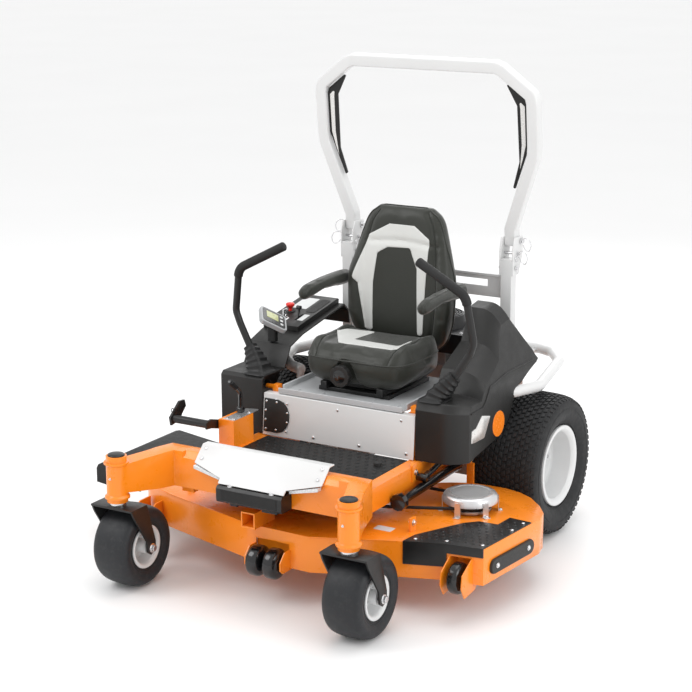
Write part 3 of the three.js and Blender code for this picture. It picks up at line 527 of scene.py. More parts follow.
# ------------------------------------------------------------------ camera and light first
scene = bpy.context.scene
cam_data = bpy.data.cameras.new("camera")
cam = link(bpy.data.objects.new("camera", cam_data))
az, el, roll = RAD(30.824), RAD(14.442), RAD(-0.247)
back = Vector((math.sin(az) * math.cos(el), -math.cos(az) * math.cos(el), math.sin(el)))
fwd = -back
right = fwd.cross(Vector((0, 0, 1))).normalized()
upv = right.cross(fwd)
R = right * math.cos(roll) + upv * math.sin(roll)
U = -right * math.sin(roll) + upv * math.cos(roll)
m = Matrix((R, U, back)).transposed().to_4x4()
m.translation = W(3720.8, -6815.8, 2739.0)
cam.matrix_world = m
cam_data.lens = 94.996
cam_data.sensor_width = 36.0
cam_data.clip_start = 0.1
cam_data.clip_end = 200
scene.camera = cam

scene.view_settings.view_transform = "Standard"
world = bpy.data.worlds.new("studio")
scene.world = world
world.use_nodes = True
world.node_tree.nodes["Background"].inputs[0].default_value = (1.0, 1.0, 1.0, 1)
world.node_tree.nodes["Background"].inputs[1].default_value = 1.02


def area(name, loc, target, size, power, color=(1, 1, 1), sy=None):
    d = bpy.data.lights.new(name, "AREA")
    d.energy = power
    d.size = size
    d.color = color
    if sy:
        d.shape = "RECTANGLE"
        d.size_y = sy
    o = link(bpy.data.objects.new(name, d))
    o.location = loc
    o.rotation_euler = (Vector(target) - Vector(loc)).to_track_quat("-Z", "Y").to_euler()
    return o


area("key", (-3.2, -3.6, 4.6), (0, 0, 0.5), 2.6, 95)
area("top", (0.6, 0.4, 5.2), (0, 0, 0.6), 3.2, 60)
area("side", (5.0, -0.8, 2.6), (0, 0, 0.7), 2.6, 70)
area("rear", (-1.5, 5.0, 3.4), (0, 0, 0.8), 3.0, 40)

bm = bmesh.new()
s = 60.0
vs = [bm.verts.new(p) for p in ((-s, -s, -0.0008), (s, -s, -0.0008), (s, s, -0.0008), (-s, s, -0.0008))]
bm.faces.new(vs)
me = bpy.data.meshes.new("floor")
bm.to_mesh(me)
bm.free()
floor = link(bpy.data.objects.new("floor", me))
fm = Nodes("pale_floor")
fn = fm.noise(0.6, 3)
fr = fm.ramp(fn.outputs["Fac"], [(0.3, (0.89, 0.89, 0.89)), (0.7, (0.905, 0.905, 0.905))])
fm.l(fr.outputs["Color"], fm.b.inputs["Base Color"])
fm.b.inputs["Roughness"].default_value = 0.5
me.materials.append(fm.m)


# ------------------------------------------------------------------ CAD pieces that only need rounded corners and a finish
def node(n):
    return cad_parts[n]


for n, mat, body, mm, seg in (
        ("main_frame", ORANGE, "chassis", 2.6, 3), ("front_panel", WHITE, "chassis", 2.0, 3),
        ("front_bumper", BLACK, "chassis", 9.0, 5), ("foot_platform", SOFT_BLACK, "chassis", 1.6, 3),
        ("seat_box_panel", WHITE, "chassis", 2.2, 3), ("inspection_cover", PLASTIC, "chassis", 3.0, 4),
        ("engine_block", ALLOY, "chassis", 5.0, 3), ("engine_shroud", SHROUD, "chassis", 9.0, 4),
        ("muffler", STEEL, "chassis", 3.5, 3), ("left_transaxle", ALLOY, "chassis", 5.0, 3),
        ("right_transaxle", ALLOY, "chassis", 5.0, 3), ("lift_strut", BLACK_GLOSS, "chassis", 1.5, 2),
        ("rops_base", WHITE, "chassis", 3.0, 3), ("seat_plate", GREY, "seat_frame", 1.8, 3),
        ("seat_suspension", BLACK, "seat_frame", 2.0, 2), ("left_lever_yoke", BLACK, "left_yoke", 1.2, 2),
        ("right_lever_yoke", BLACK, "right_yoke", 1.2, 2), ("lift_pedal", BLACK, "pedal", 1.6, 3),
        ("height_lever", BLACK_GLOSS, "height_selector", 1.2, 2), ("step_plate", BLACK, "deck", 1.4, 2),
        ("deck_shell", ORANGE, "deck", 2.0, 3), ("discharge_chute", SOFT_BLACK, "chute", 3.0, 3),
        ("drive_belt", SOFT_BLACK, "deck", 2.5, 2)):
    refine(n, mat, body, mm, seg, 34)

# ------------------------------------------------------------------ wheels
def tyre_profile(half, crown_r, air=None, r=5, n=5):
    pts = [(a, -b) for a, b in half] + [(crown_r, 0)] + [(a, b) for a, b in reversed(half)]
    return pts


def spline_profile(half, mid, n=7):
    """Half section (radius, offset) from bead to shoulder, carried to the mid point of the tread, smoothed."""
    pts = catmull([(a, b, 0) for a, b in half] + [(mid[0], mid[1], 0)], n)
    side = [(p.x, p.y) for p in pts]
    return side


for s, side in ((1, "left"), (-1, "right")):
    cx = 578 * s
    # carcass with rounded shoulders; its crown sits below the tread blocks
    half = [(152.3, 116.0), (160, 117.5), (172, 120), (184, 126.5), (200, 137), (222, 146), (246, 148.8), (266, 146.5), (280, 139), (289, 127)]
    crown = [(293.5, 108), (296.0, 80), (297.3, 40), (297.8, 0)]
    prof = spline_profile(half + crown[:-1], crown[-1], 4)
    full = [(a, -b) for a, b in prof] + [(a, b) for a, b in reversed(prof[:-1])]
    inner = [(152.3, 100), (200, 120), (258, 136), (278, 122), (286, 0), (278, -122), (258, -136), (200, -120), (152.3, -100)]
    bm = bmesh.new()
    lathe(bm, full + inner, (cx, 0, 305), (1, 0, 0), 144)
    # raised rings on the sidewall
    for rr, hh in ((188, 130.2), (246, 149.0)):
        for q in (-1, 1):
            lathe(bm, soft_profile([(rr - 3, q * (hh - 2)), (rr + 3, q * (hh - 1)), (rr + 2, q * (hh + 1.1)), (rr - 2, q * (hh + 0.9)), (rr - 3, q * (hh - 2))][:-1], 0.5, 2), (cx, 0, 305), (1, 0, 0), 144)
    tyre = make(side + "_drive_tyre", bm, TYRE, side + "_drive_wheel", side + "_rear_tyre", smooth=50)
    # turf tread: rows of small chevron-cut blocks, offset row to row, wrapping on to the shoulders
    bm = bmesh.new()
    N = 62
    rows = []
    for off, wid, base, lean in ((10.5, 17, 297.8, 0.3), (31.5, 17, 297.5, 1), (52.5, 17, 296.9, 2), (73.5, 17, 296.1, 3), (94.5, 17, 294.2, 6), (115, 17, 290.2, 12), (134.5, 17, 283.2, 28)):
        rows += [(off, wid, base, -lean), (-off, wid, base, lean)]
    for ri, (off, wid, base, lean) in enumerate(sorted(rows)):
        q = 1 if off > 0 else -1
        for k in range(N):
            a = 2 * math.pi * (k + (0.5 if ri % 2 else 0.0)) / N
            ln = 2 * math.pi * base / N * 0.74
            h = 6.6 if abs(off) < 120 else 5.4
            er = Vector((0, math.sin(a), math.cos(a)))
            et = Vector((0, math.cos(a), -math.sin(a)))
            ex = Vector((1, 0, 0))
            L = RAD(lean * 1.0)
            nrm = (er * math.cos(L) - ex * math.sin(L)).normalized()
            wx = (ex * math.cos(L) + er * math.sin(L)).normalized()
            skew = 0.30 * q
            c = Vector((cx, 0, 305)) + ex * off + er * base
            vs = []
            for top, kk in ((-3.0, 1.0), (h, 0.86)):
                for u, v in ((-0.5, -0.5), (0.5, -0.5), (0.5, 0.5), (-0.5, 0.5)):
                    vs.append(bm.verts.new(c + nrm * top + wx * (u * wid * kk) + et * ((v * ln * kk) + skew * u * wid)))
            for f in ((0, 3, 2, 1), (4, 5, 6, 7), (0, 1, 5, 4), (1, 2, 6, 5), (2, 3, 7, 6), (3, 0, 4, 7)):
                bm.faces.new([vs[i] for i in f])
    bmesh.ops.bevel(bm, geom=list(bm.edges), offset=0.9, segments=1, affect="EDGES")
    make(side + "_tread_blocks", bm, TYRE, side + "_drive_wheel", smooth=25)
    # dished rim: outer dish is the outboard side
    rim = [(0, -152), (26, -152), (28, -150), (28, 10), (34, 14), (130, 14), (141, 8), (144, -4), (144, -118), (150, -127), (158, -133.5), (168, -134.5), (174, -134), (174, -121.5),
           (152, -117), (152, 117), (174, 121.5), (174, 134), (168, 134.5), (158, 133.5), (150, 127), (144, 118), (144, 36), (140, 27), (130, 23), (66, 23), (59, 27), (54, 40), (50, 44), (0, 44)]
    rim = [(r, s * x) for r, x in soft_profile(rim, 3, 3)]
    rim[0] = (0.0, rim[0][1]); rim[-1] = (0.0, rim[-1][1])
    turned(side + "_drive_rim", rim, (cx, 0, 305), (1, 0, 0), RIM, side + "_drive_wheel", 128, side + "_rear_rim", smooth=45)
    b = Bolts()
    for k in range(5):
        a = 2 * math.pi * k / 5 + 0.3
        b.hex((cx + s * 24, 100 * math.sin(a) * 0.86, 305 + 100 * math.cos(a) * 0.86), (s, 0, 0), 10, 14)
    b.hex((cx + s * 44, 0, 305), (s, 0, 0), 22, 15)
    b.done(side + "_lug_nuts", CHROME, side + "_drive_wheel")
    turned(side + "_valve", [(0, 0), (5.5, 0), (5, 14), (3.4, 16), (3.4, 30), (0, 31)], (cx + s * 26, 0, 305 + 128), (s, 0, 0), SOFT_BLACK, side + "_drive_wheel", 20)

    # casters
    px, py = 527 * s, -1367
    half = [(76.3, 61.5), (80, 64), (88, 66.5), (98, 70), (112, 78), (126, 82), (138, 82), (149, 76.5), (157, 65), (161.5, 46), (163.8, 22)]
    prof = spline_profile(half, (164.6, 0), 4)
    full = [(a, -b) for a, b in prof] + [(a, b) for a, b in reversed(prof[:-1])]
    bm = bmesh.new()
    lathe(bm, full, (px, py, 165), (1, 0, 0), 128)
    for q in (-1, 1):
        for rr, hh in ((103, 73.2), (131, 82.2)):
            lathe(bm, [(rr - 2.5, q * (hh - 2.5)), (rr + 2.5, q * (hh - 2.0)), (rr + 1.5, q * (hh + 0.7)), (rr - 1.5, q * (hh + 0.5))], (px, py, 165), (1, 0, 0), 128)
    make(side + "_front_tyre", bm, CASTER_TYRE, side + "_caster_wheel", side + "_caster_tyre", smooth=50)
    rim = [(13, -80), (27, -80), (28, -79), (28, -12), (34, -6), (62, -6), (68, -12), (69, -62), (73, -71), (80, -74), (88, -74), (88, -67), (75.9, -63),
           (75.9, 63), (88, 67), (88, 74), (80, 74), (73, 71), (69, 62), (68, 12), (62, 6), (34, 6), (28, 12), (28, 79), (27, 80), (13, 80)]
    turned(side + "_front_rim", soft_profile(rim, 2, 2), (px, py, 165), (1, 0, 0), RIM, side + "_caster_wheel", 96, side + "_caster_rim", smooth=45)
    # forks: folded plate with generous corners
    fo = refine(side + "_caster_fork", BLACK, side + "_caster", 3.0, 3, 34)
    b = Bolts()
    for q in (-1, 1):
        b.hex((px + q * 100.5, py, 165), (q, 0, 0), 14, 13)
    b.done(side + "_caster_axle_nuts", CHROME, side + "_caster")
    turned(side + "_caster_spacer", [(0, 352), (33, 352), (34, 354), (34, 365), (33, 367.5), (0, 367.5)], (px, -1449, 0), (0, 0, 1), CHROME, side + "_caster", 48)
    # cap, greased collar and flange welds on the pivot tube
    turned(side + "_pivot_cap", [(0, 556.2), (34, 556.2), (34, 559), (31, 562.5), (20, 565), (0, 566)], (px, -1449, 0), (0, 0, 1), BLACK, "chassis", 56)
    turned(side + "_grease_nipple", [(0, 0), (5, 0), (5, 3), (3, 4), (3, 8), (0, 9)], (px, -1449 - 41, 470), (0, -1, 0.1), CHROME, "chassis", 20)
    for z in (393.5, 522.5):
        q = 1 if z < 450 else -1
        turned("%s_pivot_weld_%d" % (side, z), [(40, z - 2 * q), (50, z - 2 * q), (46, z + 1.2 * q), (43, z + 3.6 * q), (41, z + 6 * q), (40, z + 6 * q)][::q], (px, -1449, 0), (0, 0, 1), ORANGE, "chassis", 56)

# ------------------------------------------------------------------ rollers
for nm, xs, c, r, body, rep in (("middle_roller_a", (8,), (-1268, 165), 63.5, "middle_rollers", "center_rollers"), ("middle_roller_b", (84,), (-1268, 165), 63.5, "middle_rollers", None)):
    pass


def roller(bm, cx, cy, cz, r, w, crown=14):
    pr = [(0, -w / 2)]
    for k in range(25):
        u = -1 + 2 * k / 24
        pr.append((max(24.0, r * max(0.0, 1 - abs(u) ** 3.6) ** 0.42), u * w / 2))
    pr.append((0, w / 2))
    lathe(bm, pr, (cx, cy, cz), (1, 0, 0), 80)
    for q in (-1, 1):
        lathe(bm, [(0, q * (w / 2 - 1)), (17, q * (w / 2 - 1)), (17, q * (w / 2 + 1.6)), (0, q * (w / 2 + 1.6))], (cx, cy, cz), (1, 0, 0), 40)


for body, name, xs, (cy, cz), r, w, rep in (("middle_rollers", "deck_rollers", (8, 84), (-1268, 165), 63.5, 70, "center_rollers"),
                                            ("left_corner_roller", "left_deck_roller", (769,), (-1052, 168), 55, 60, "left_roller"),
                                            ("right_corner_roller", "right_deck_roller", (-640,), (-1132, 168), 55, 60, "right_roller")):
    lo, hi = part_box(rep)
    rr = (hi[2] - lo[2]) * 500
    cyr = (lo[1] + hi[1]) * 500 + OY
    czr = (lo[2] + hi[2]) * 500
    bm = bmesh.new()
    if len(xs) == 2:
        for x in xs:
            roller(bm, x, cyr, czr, rr, 69)
        lathe(bm, [(0, -4), (11, -4), (11, 4), (0, 4)], (46, cyr, czr), (1, 0, 0), 32)
    else:
        wx = (hi[0] - lo[0]) * 1000
        roller(bm, (lo[0] + hi[0]) * 500 + OX, cyr, czr, rr, wx - 0.5)
    make(name, bm, BLACK_GLOSS, body, rep, smooth=50)

# ------------------------------------------------------------------ side covers
FEN_LOW = [(53, 840), (72, 788), (46, 766), (-141, 681), (-181, 630), (-229, 549), (-360, 493), (-549, 466)]
FEN_FRONT = [(-655, 458), (-655, 690), (-640, 704), (-480, 704)]
BUMPER = [(398, -300), (470, -262), (566, -158), (617, -27), (522, 388), (432, 520), (350, 556)]


def boolean(o, cutter, op="DIFFERENCE"):
    md = o.modifiers.new("cut", "BOOLEAN")
    md.operation = op
    md.solver = "EXACT"
    md.object = cutter
    applied(o)
    bpy.data.objects.remove(cutter, do_unlink=True)
    return o


def rawobj(bm):
    for v in bm.verts:
        v.co = W(v.co)
    bmesh.ops.recalc_face_normals(bm, faces=bm.faces)
    me = bpy.data.meshes.new("tmp")
    bm.to_mesh(me)
    bm.free()
    return link(bpy.data.objects.new("tmp", me))


def sst(a, b, x):
    f = max(0.0, min(1.0, (x - a) / (b - a)))
    return f * f * (3 - 2 * f)


def mould(p):
    """The moulded cover's crown: its top falls away outboard, its front corner is swept back, its rear shoulder is round."""
    x, y, z = p
    q = abs(x)
    t2 = max(0.0, (q - 440) / 135)
    high = sst(712, 840, z)
    dz = -62 * high * t2 ** 2.3
    # the tall rear part leans inboard as it rises
    lean = 62 * sst(720, 1000, z) * max(0.0, (q - 366) / 209)
    # front corner
    f = max(0.0, (q - 476) / 99)
    dyf = 68 * f ** 2.0 * sst(-520, -655, y)
    g = sst(-634, -655, y) * sst(640, 704, z)
    dz -= 24 * g
    dz -= 14 * f ** 2 * sst(660, 704, z) * (1 - high)
    return Vector((math.copysign(q - lean, x), y + dyf, z + dz))


def cover(n, name):
    src = node(n)
    bm = bmesh.new()
    bm.from_mesh(src.data)
    bmesh.ops.remove_doubles(bm, verts=bm.verts, dist=2e-5)
    bmesh.ops.dissolve_limit(bm, angle_limit=RAD(1.0), verts=bm.verts, edges=bm.edges, delimit=set())
    me = bpy.data.meshes.new(name)
    bm.to_mesh(me)
    bm.free()
    o = link(bpy.data.objects.new(name, me))
    bevel(o, 2.6, 4, 14, False)
    applied(o)
    bm = bmesh.new()
    bm.from_mesh(o.data)
    for v in bm.verts:
        v.co = Vector((v.co.x * 1000 + OX, v.co.y * 1000 + OY, v.co.z * 1000))
    for ax, lo, hi, st in (((1, 0, 0), -575, 575, 13.0), ((0, 1, 0), -650, 60, 16.0), ((0, 0, 1), 465, 1008, 16.0)):
        v = lo
        while v < hi:
            if not (ax[0] and abs(v) < 366):
                bmesh.ops.bisect_plane(bm, geom=bm.verts[:] + bm.edges[:] + bm.faces[:], plane_co=tuple(c * v for c in ax), plane_no=ax)
            v += st
    for v in bm.verts:
        v.co = W(mould(v.co))
    bmesh.ops.triangulate(bm, faces=[f for f in bm.faces if len(f.verts) > 4])
    bm.to_mesh(o.data)
    bm.free()
    me = o.data
    bpy.data.objects.remove(o, do_unlink=True)
    return wrap(name, me, PLASTIC, "chassis", n, 34)


cover("left_fender", "left_cover_skin")
if True:
    refine("right_fender", PLASTIC, "chassis", 2.6, 4, 14, name="right_cover_skin")


def moulded(o):
    """Carries a trim piece with the left cover's crown."""
    for v in o.data.vertices:
        v.co = W(mould((v.co.x * 1000 + OX, v.co.y * 1000 + OY, v.co.z * 1000)))
    return o


# raised panel lines, blank badge and reflector on the left cover
bm = bmesh.new()
prism(bm, [(-326 + 54 * math.cos(2 * math.pi * k / 64), 557 + 54 * math.sin(2 * math.pi * k / 64)) for k in range(64)], "X", 573, 577.5)
bevel(make("round_badge", bm, BADGE, "chassis"), 1.0, 3)
bm = bmesh.new()
prism(bm, [(-326 + 58 * math.cos(2 * math.pi * k / 64), 557 + 58 * math.sin(2 * math.pi * k / 64)) for k in range(64)], "X", 573, 576)
bevel(make("badge_rim", bm, PLASTIC, "chassis"), 0.8, 2)
bm = bmesh.new()
prism(bm, [(p.x, p.y) for p in rounded([(-404, 610, 0), (-477, 629, 0), (-530, 589, 0), (-627, 585, 0), (-631, 535, 0), (-457, 531, 0), (-404, 610, 0)], 7, 4)[:-1]], "X", 573, 577.2)
for st in range(-625, -404, 9):
    bmesh.ops.bisect_plane(bm, geom=bm.verts[:] + bm.edges[:] + bm.faces[:], plane_co=(0, st, 0), plane_no=(0, 1, 0))
moulded(make("side_reflector", bm, REFLECTOR, "chassis"))
# stiffening lines pressed round the left cover's flat side
for i, pts in enumerate(([(-640, 660), (-470, 660), (-400, 760), (-240, 800), (-160, 800), (30, 800)],)):
    bm = bmesh.new()
    rp = rounded([(575.3, y, z) for y, z in pts], 24, 5)
    fine = []
    for a_, c_ in zip(rp, rp[1:]):
        k_ = max(1, int((c_ - a_).length / 12))
        fine += [a_ + (c_ - a_) * (j_ / k_) for j_ in range(k_)]
    fine = [mould(q_) + Vector((0.6, 0, 0)) for q_ in fine + [rp[-1]]]
    sweep(bm, fine, circle(3.4, 10), (1, 0, 0), 1.0)
    make("cover_rib_%d" % i, bm, PLASTIC, "chassis", smooth=60)
bm = bmesh.new()
for s in (1, -1):
    o = None
# finger rims round the lever openings
for s, side in ((1, "left"), (-1, "right")):
    bm = bmesh.new()
    path = [(422 * s + x, -581 + y, 704.6) for x, y in rrect(104, 106, 24, 7)]
    sweep(bm, path, circle(3.0, 10), (0, 0, 1), 0, closed=True)
    make(side + "_opening_rim", bm, SOFT_BLACK, "chassis", smooth=60)

# ------------------------------------------------------------------ console and display
refine("control_console", PLASTIC, "chassis", 5.0, 4, 30)
bm = bmesh.new()


def on_tray(x, y, up=0.0):
    """A point on the tray's sloping top."""
    return (x, y, 852 + (y + 300) / 316 * 54 + up)


TRAY_N = Vector((0, -54 / 316, 1)).normalized()


def tray_plate(name, x0, x1, y0, y1, t, mat, r=5, lift=0.0):
    bm = bmesh.new()
    pts = [((x0 + x1) / 2 + x, (y0 + y1) / 2 + y) for x, y in rrect(x1 - x0, y1 - y0, r, 4)]
    lo = [bm.verts.new(Vector(on_tray(x, y, lift - 0.4))) for x, y in pts]
    hi = [bm.verts.new(Vector(on_tray(x, y, lift + t))) for x, y in pts]
    bm.faces.new(list(reversed(lo)))
    bm.faces.new(hi)
    for i in range(len(pts)):
        j = (i + 1) % len(pts)
        bm.faces.new((lo[i], lo[j], hi[j], hi[i]))
    return bevel(make(name, bm, mat, "chassis"), 0.5, 2)


tray_plate("console_label", -545, -468, -140, -20, 0.9, LABEL, 6)
tray_plate("throttle_scale", -440, -412, -262, -196, 0.9, LABEL, 4)
tray_plate("throttle_slot_frame", -459, -437, -272, -188, 1.6, SOFT_BLACK, 5) if False else None
tray_plate("cup_panel", -455, -408, -170, -20, 1.6, SOFT_BLACK, 14)
turned("switch_collar", [(0, 0), (24, 0), (24, 2.5), (21, 5), (0, 5)][0:0] or [(9.2, 0), (24, 0), (24, 2.6), (21.5, 4.6), (9.2, 4.6)], on_tray(-525, -180, -0.3), TRAY_N, SOFT_BLACK, "chassis", 48)
turned("key_collar", [(9.2, 0), (17, 0), (17, 2.0), (14.5, 4.0), (9.2, 4.0)], on_tray(-500, -262, -0.3), TRAY_N, CHROME, "chassis", 48)

# red pull switch: waisted knob
lo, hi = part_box("pto_knob")
kx, ky = (lo[0] + hi[0]) / 2, (lo[1] + hi[1]) / 2
z1 = hi[2]
rr = (hi[0] - lo[0]) / 2
bm = bmesh.new()
kc = (kx * 1000 + OX, ky * 1000 + OY)
pr = catmull([(7.5, 0, 0), (7.5, 12, 0), (11, 17, 0), (15, 21, 0), (19, 26, 0), (20, 31, 0), (18.5, 35, 0), (13, 38, 0), (6, 39.2, 0)], 4)
lathe(bm, [(0, 0)] + [(p.x, p.y) for p in pr] + [(0, 39.4)], (kc[0], kc[1], z1 * 1000 - 39.4), (0, 0, 1), 48)
make("red_pull_knob", bm, RED, "blade_switch", "pto_knob", smooth=60)
refine("throttle_lever", BLACK_GLOSS, "throttle", 2.2, 3)
refine("ignition_key", CHROME, "key", 1.0, 2)
lo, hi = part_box("ignition_key")
# display head
n3 = Vector((0.60, 0.06, 0.80)).normalized()
u3 = Vector((0.5, 0.55, -0.42))
u3 = (u3 - n3 * u3.dot(n3)).normalized()
v3 = n3.cross(u3)
dc = Vector((-458, -425, 893))


def on_head(pts, a, b, bm):
    lo = [bm.verts.new(dc + u3 * x + v3 * y + n3 * a) for x, y in pts]
    hi = [bm.verts.new(dc + u3 * x + v3 * y + n3 * b) for x, y in pts]
    bm.faces.new(list(reversed(lo)))
    bm.faces.new(hi)
    for i in range(len(pts)):
        j = (i + 1) % len(pts)
        bm.faces.new((lo[i], lo[j], hi[j], hi[i]))
    return bm


bevel(make("display_case", on_head(rrect(128, 112, 17, 6), -12, 9.5, bmesh.new()), BEZEL, "chassis", "display"), 2.5, 4)
bevel(make("display_face", on_head(rrect(110, 95, 12, 5), 8.5, 11.0, bmesh.new()), BLACK_GLOSS, "chassis"), 0.8, 2)
bevel(make("display_screen", on_head([(x - 8, y + 8) for x, y in rrect(58, 46, 4, 3)], 10.5, 11.8, bmesh.new()), LCD, "chassis"), 0.3, 2)
bm = bmesh.new()
for k in range(3):
    on_head([(37 + x, 28 - k * 27 + y) for x, y in rrect(14, 13, 4, 4)], 10.5, 12.0, bm)
bevel(make("display_keys", bm, LABEL, "chassis"), 0.4, 2)
solidpiece("display_neck", lambda b: block(b, -478, -440, -440, -412, 797, 884), SOFT_BLACK, "chassis", 5, 4)

# ------------------------------------------------------------------ roll bar and rear bumper
t = math.atan2(74, 725)
upd = Vector((0, -math.sin(t), math.cos(t)))
nrm = Vector((0, -math.cos(t), -math.sin(t)))


def on_hoop(x, s, d=0.0):
    return Vector((0, 150, 1241)) + Vector((1, 0, 0)) * x + upd * s + nrm * d


mid = [(395, 0), (395, 35), (508, 358), (512, 400), (512, 585), (504, 618), (372, 718), (345, 729), (250, 729)]
half = [on_hoop(x, s) for x, s in mid]
other = [on_hoop(-x, s) for x, s in reversed(mid)]
keep = [half[0], on_hoop(395, 35), on_hoop(512, 380), on_hoop(512, 604), on_hoop(358, 727.5), on_hoop(-358, 727.5), on_hoop(-512, 604), on_hoop(-512, 380), on_hoop(-395, 35), other[-1]]
bm = bmesh.new()
sweep(bm, rounded([half[0]] + half[1:-1] + [half[-1], other[0]] + other[1:-1] + [other[-1]], 34, 6), rrect(52, 52, 7, 5), nrm)
hoop = make("roll_bar_hoop", bm, WHITE, "roll_hoop", "rops_hoop", smooth=30)
bm = bmesh.new()
for s in (1, -1):
    prism(bm, [(p.x, p.y) for p in rounded([(128, 1203, 0), (124, 1246, 0), (172, 1246, 0), (194, 1234, 0), (189, 1207, 0), (170, 1199, 0), (128, 1203, 0)], 9, 5)[:-1]], "X", 369.3 * s, 420.7 * s)
bevel(make("fold_tongues", bm, WHITE, "roll_hoop"), 2.5, 3)
refine("left_reflector_guard", SOFT_BLACK, "roll_hoop", 3.5, 4)
refine("right_reflector_guard", SOFT_BLACK, "roll_hoop", 3.5, 4)
for s, side in ((1, "left"), (-1, "right")):
    bm = bmesh.new()
    pts = [(p.x, p.y) for p in rounded([(444, 300, 0), (458, 345, 0), (473, 404, 0), (473, 570, 0), (448, 592, 0), (452, 560, 0), (455, 404, 0), (444, 300, 0)], 5, 4)[:-1]]
    for d0, d1 in ((6.6, 8.4), (-8.4, -6.6)):
        lo = [bm.verts.new(on_hoop(x * s, q, d0)) for x, q in pts]
        hi = [bm.verts.new(on_hoop(x * s, q, d1)) for x, q in pts]
        bm.faces.new(lo); bm.faces.new(list(reversed(hi)))
        for i in range(len(pts)):
            j = (i + 1) % len(pts)
            bm.faces.new((lo[i], lo[j], hi[j], hi[i]))
    bevel(make(side + "_guard_strip", bm, REFLECTOR, "roll_hoop"), 0.5, 2)
    # lock pin with its hairpin, pivot bolt with nut
    b = Bolts()
    for q in (-1, 1):
        b.hex((s * 395 + q * 37, 168, 1222), (q, 0, 0), 11, 9)
    b.hex((s * 395 - 37 * 1, 120, 1110), (-1, 0, 0), 8, 7)
    b.hex((s * 395 + 37 * 1, 120, 1110), (1, 0, 0), 8, 7)
    b.done(side + "_fold_bolts", CHROME, "chassis")
    bm = bmesh.new()
    sweep(bm, [(s * 395 - 48, 134, 1172), (s * 395 + 48, 134, 1172)], circle(6, 20), (0, 0, 1), 2)
    sweep(bm, rounded([(s * 395 + 40, 134, 1181), (s * 395 + 40, 134, 1150), (s * 395 + 40, 112, 1136), (s * 395 + 40, 100, 1158), (s * 395 + 40, 130, 1166)], 8, 5), circle(1.6, 10), (1, 0, 0), 0.5)
    for z0, dy in ((1222, 30), (1172, -4)):
        ring = [(s * 430, 134 + dy, z0), (s * 452, 128 + dy, z0 + 14), (s * 474, 122 + dy, z0 + 10), (s * 486, 118 + dy, z0 - 12), (s * 478, 118 + dy, z0 - 36), (s * 458, 124 + dy, z0 - 36), (s * 442, 130 + dy, z0 - 16)]
        sweep(bm, catmull(ring, 6), circle(1.8, 10), (0, 1, 0), 0.5)
    make(side + "_lock_pin", bm, CHROME, "chassis", smooth=45)

path = rounded([(x, y, 650) for x, y in BUMPER] + [(-x, y, 650) for x, y in reversed(BUMPER)], 74, 10)
bm = bmesh.new()
sweep(bm, path, circle(24, 40), (0, 0, 1), 1.5)
make("rear_bumper_tube", bm, WHITE, "chassis", "rear_bumper", smooth=50)
bm = bmesh.new()
for s in (1, -1):
    block(bm, *(sorted((300 * s, 340 * s))), 400.4, 409, 380, 652)
    block(bm, *(sorted((300 * s, 340 * s))), 402, 560, 641, 651)
    prism(bm, [(p.x, p.y) for p in rounded([(-325, 370, 0), (-325, 668, 0), (-275, 668, 0), (-275, 370, 0), (-325, 370, 0)], 9, 4)[:-1]], "X", *sorted((395.4 * s, 404 * s)))
bevel(make("bumper_brackets", bm, WHITE, "chassis"), 2.2, 3)
b = Bolts()
for s in (1, -1):
    for z in (395, 430):
        b.hex((s * 404.5, -300, z), (s, 0, 0), 8, 7)
    for z in (400, 436):
        b.hex((s * 320, 409.5, z), (0, 1, 0), 8, 7)
b.done("bumper_bolts", CHROME, "chassis")

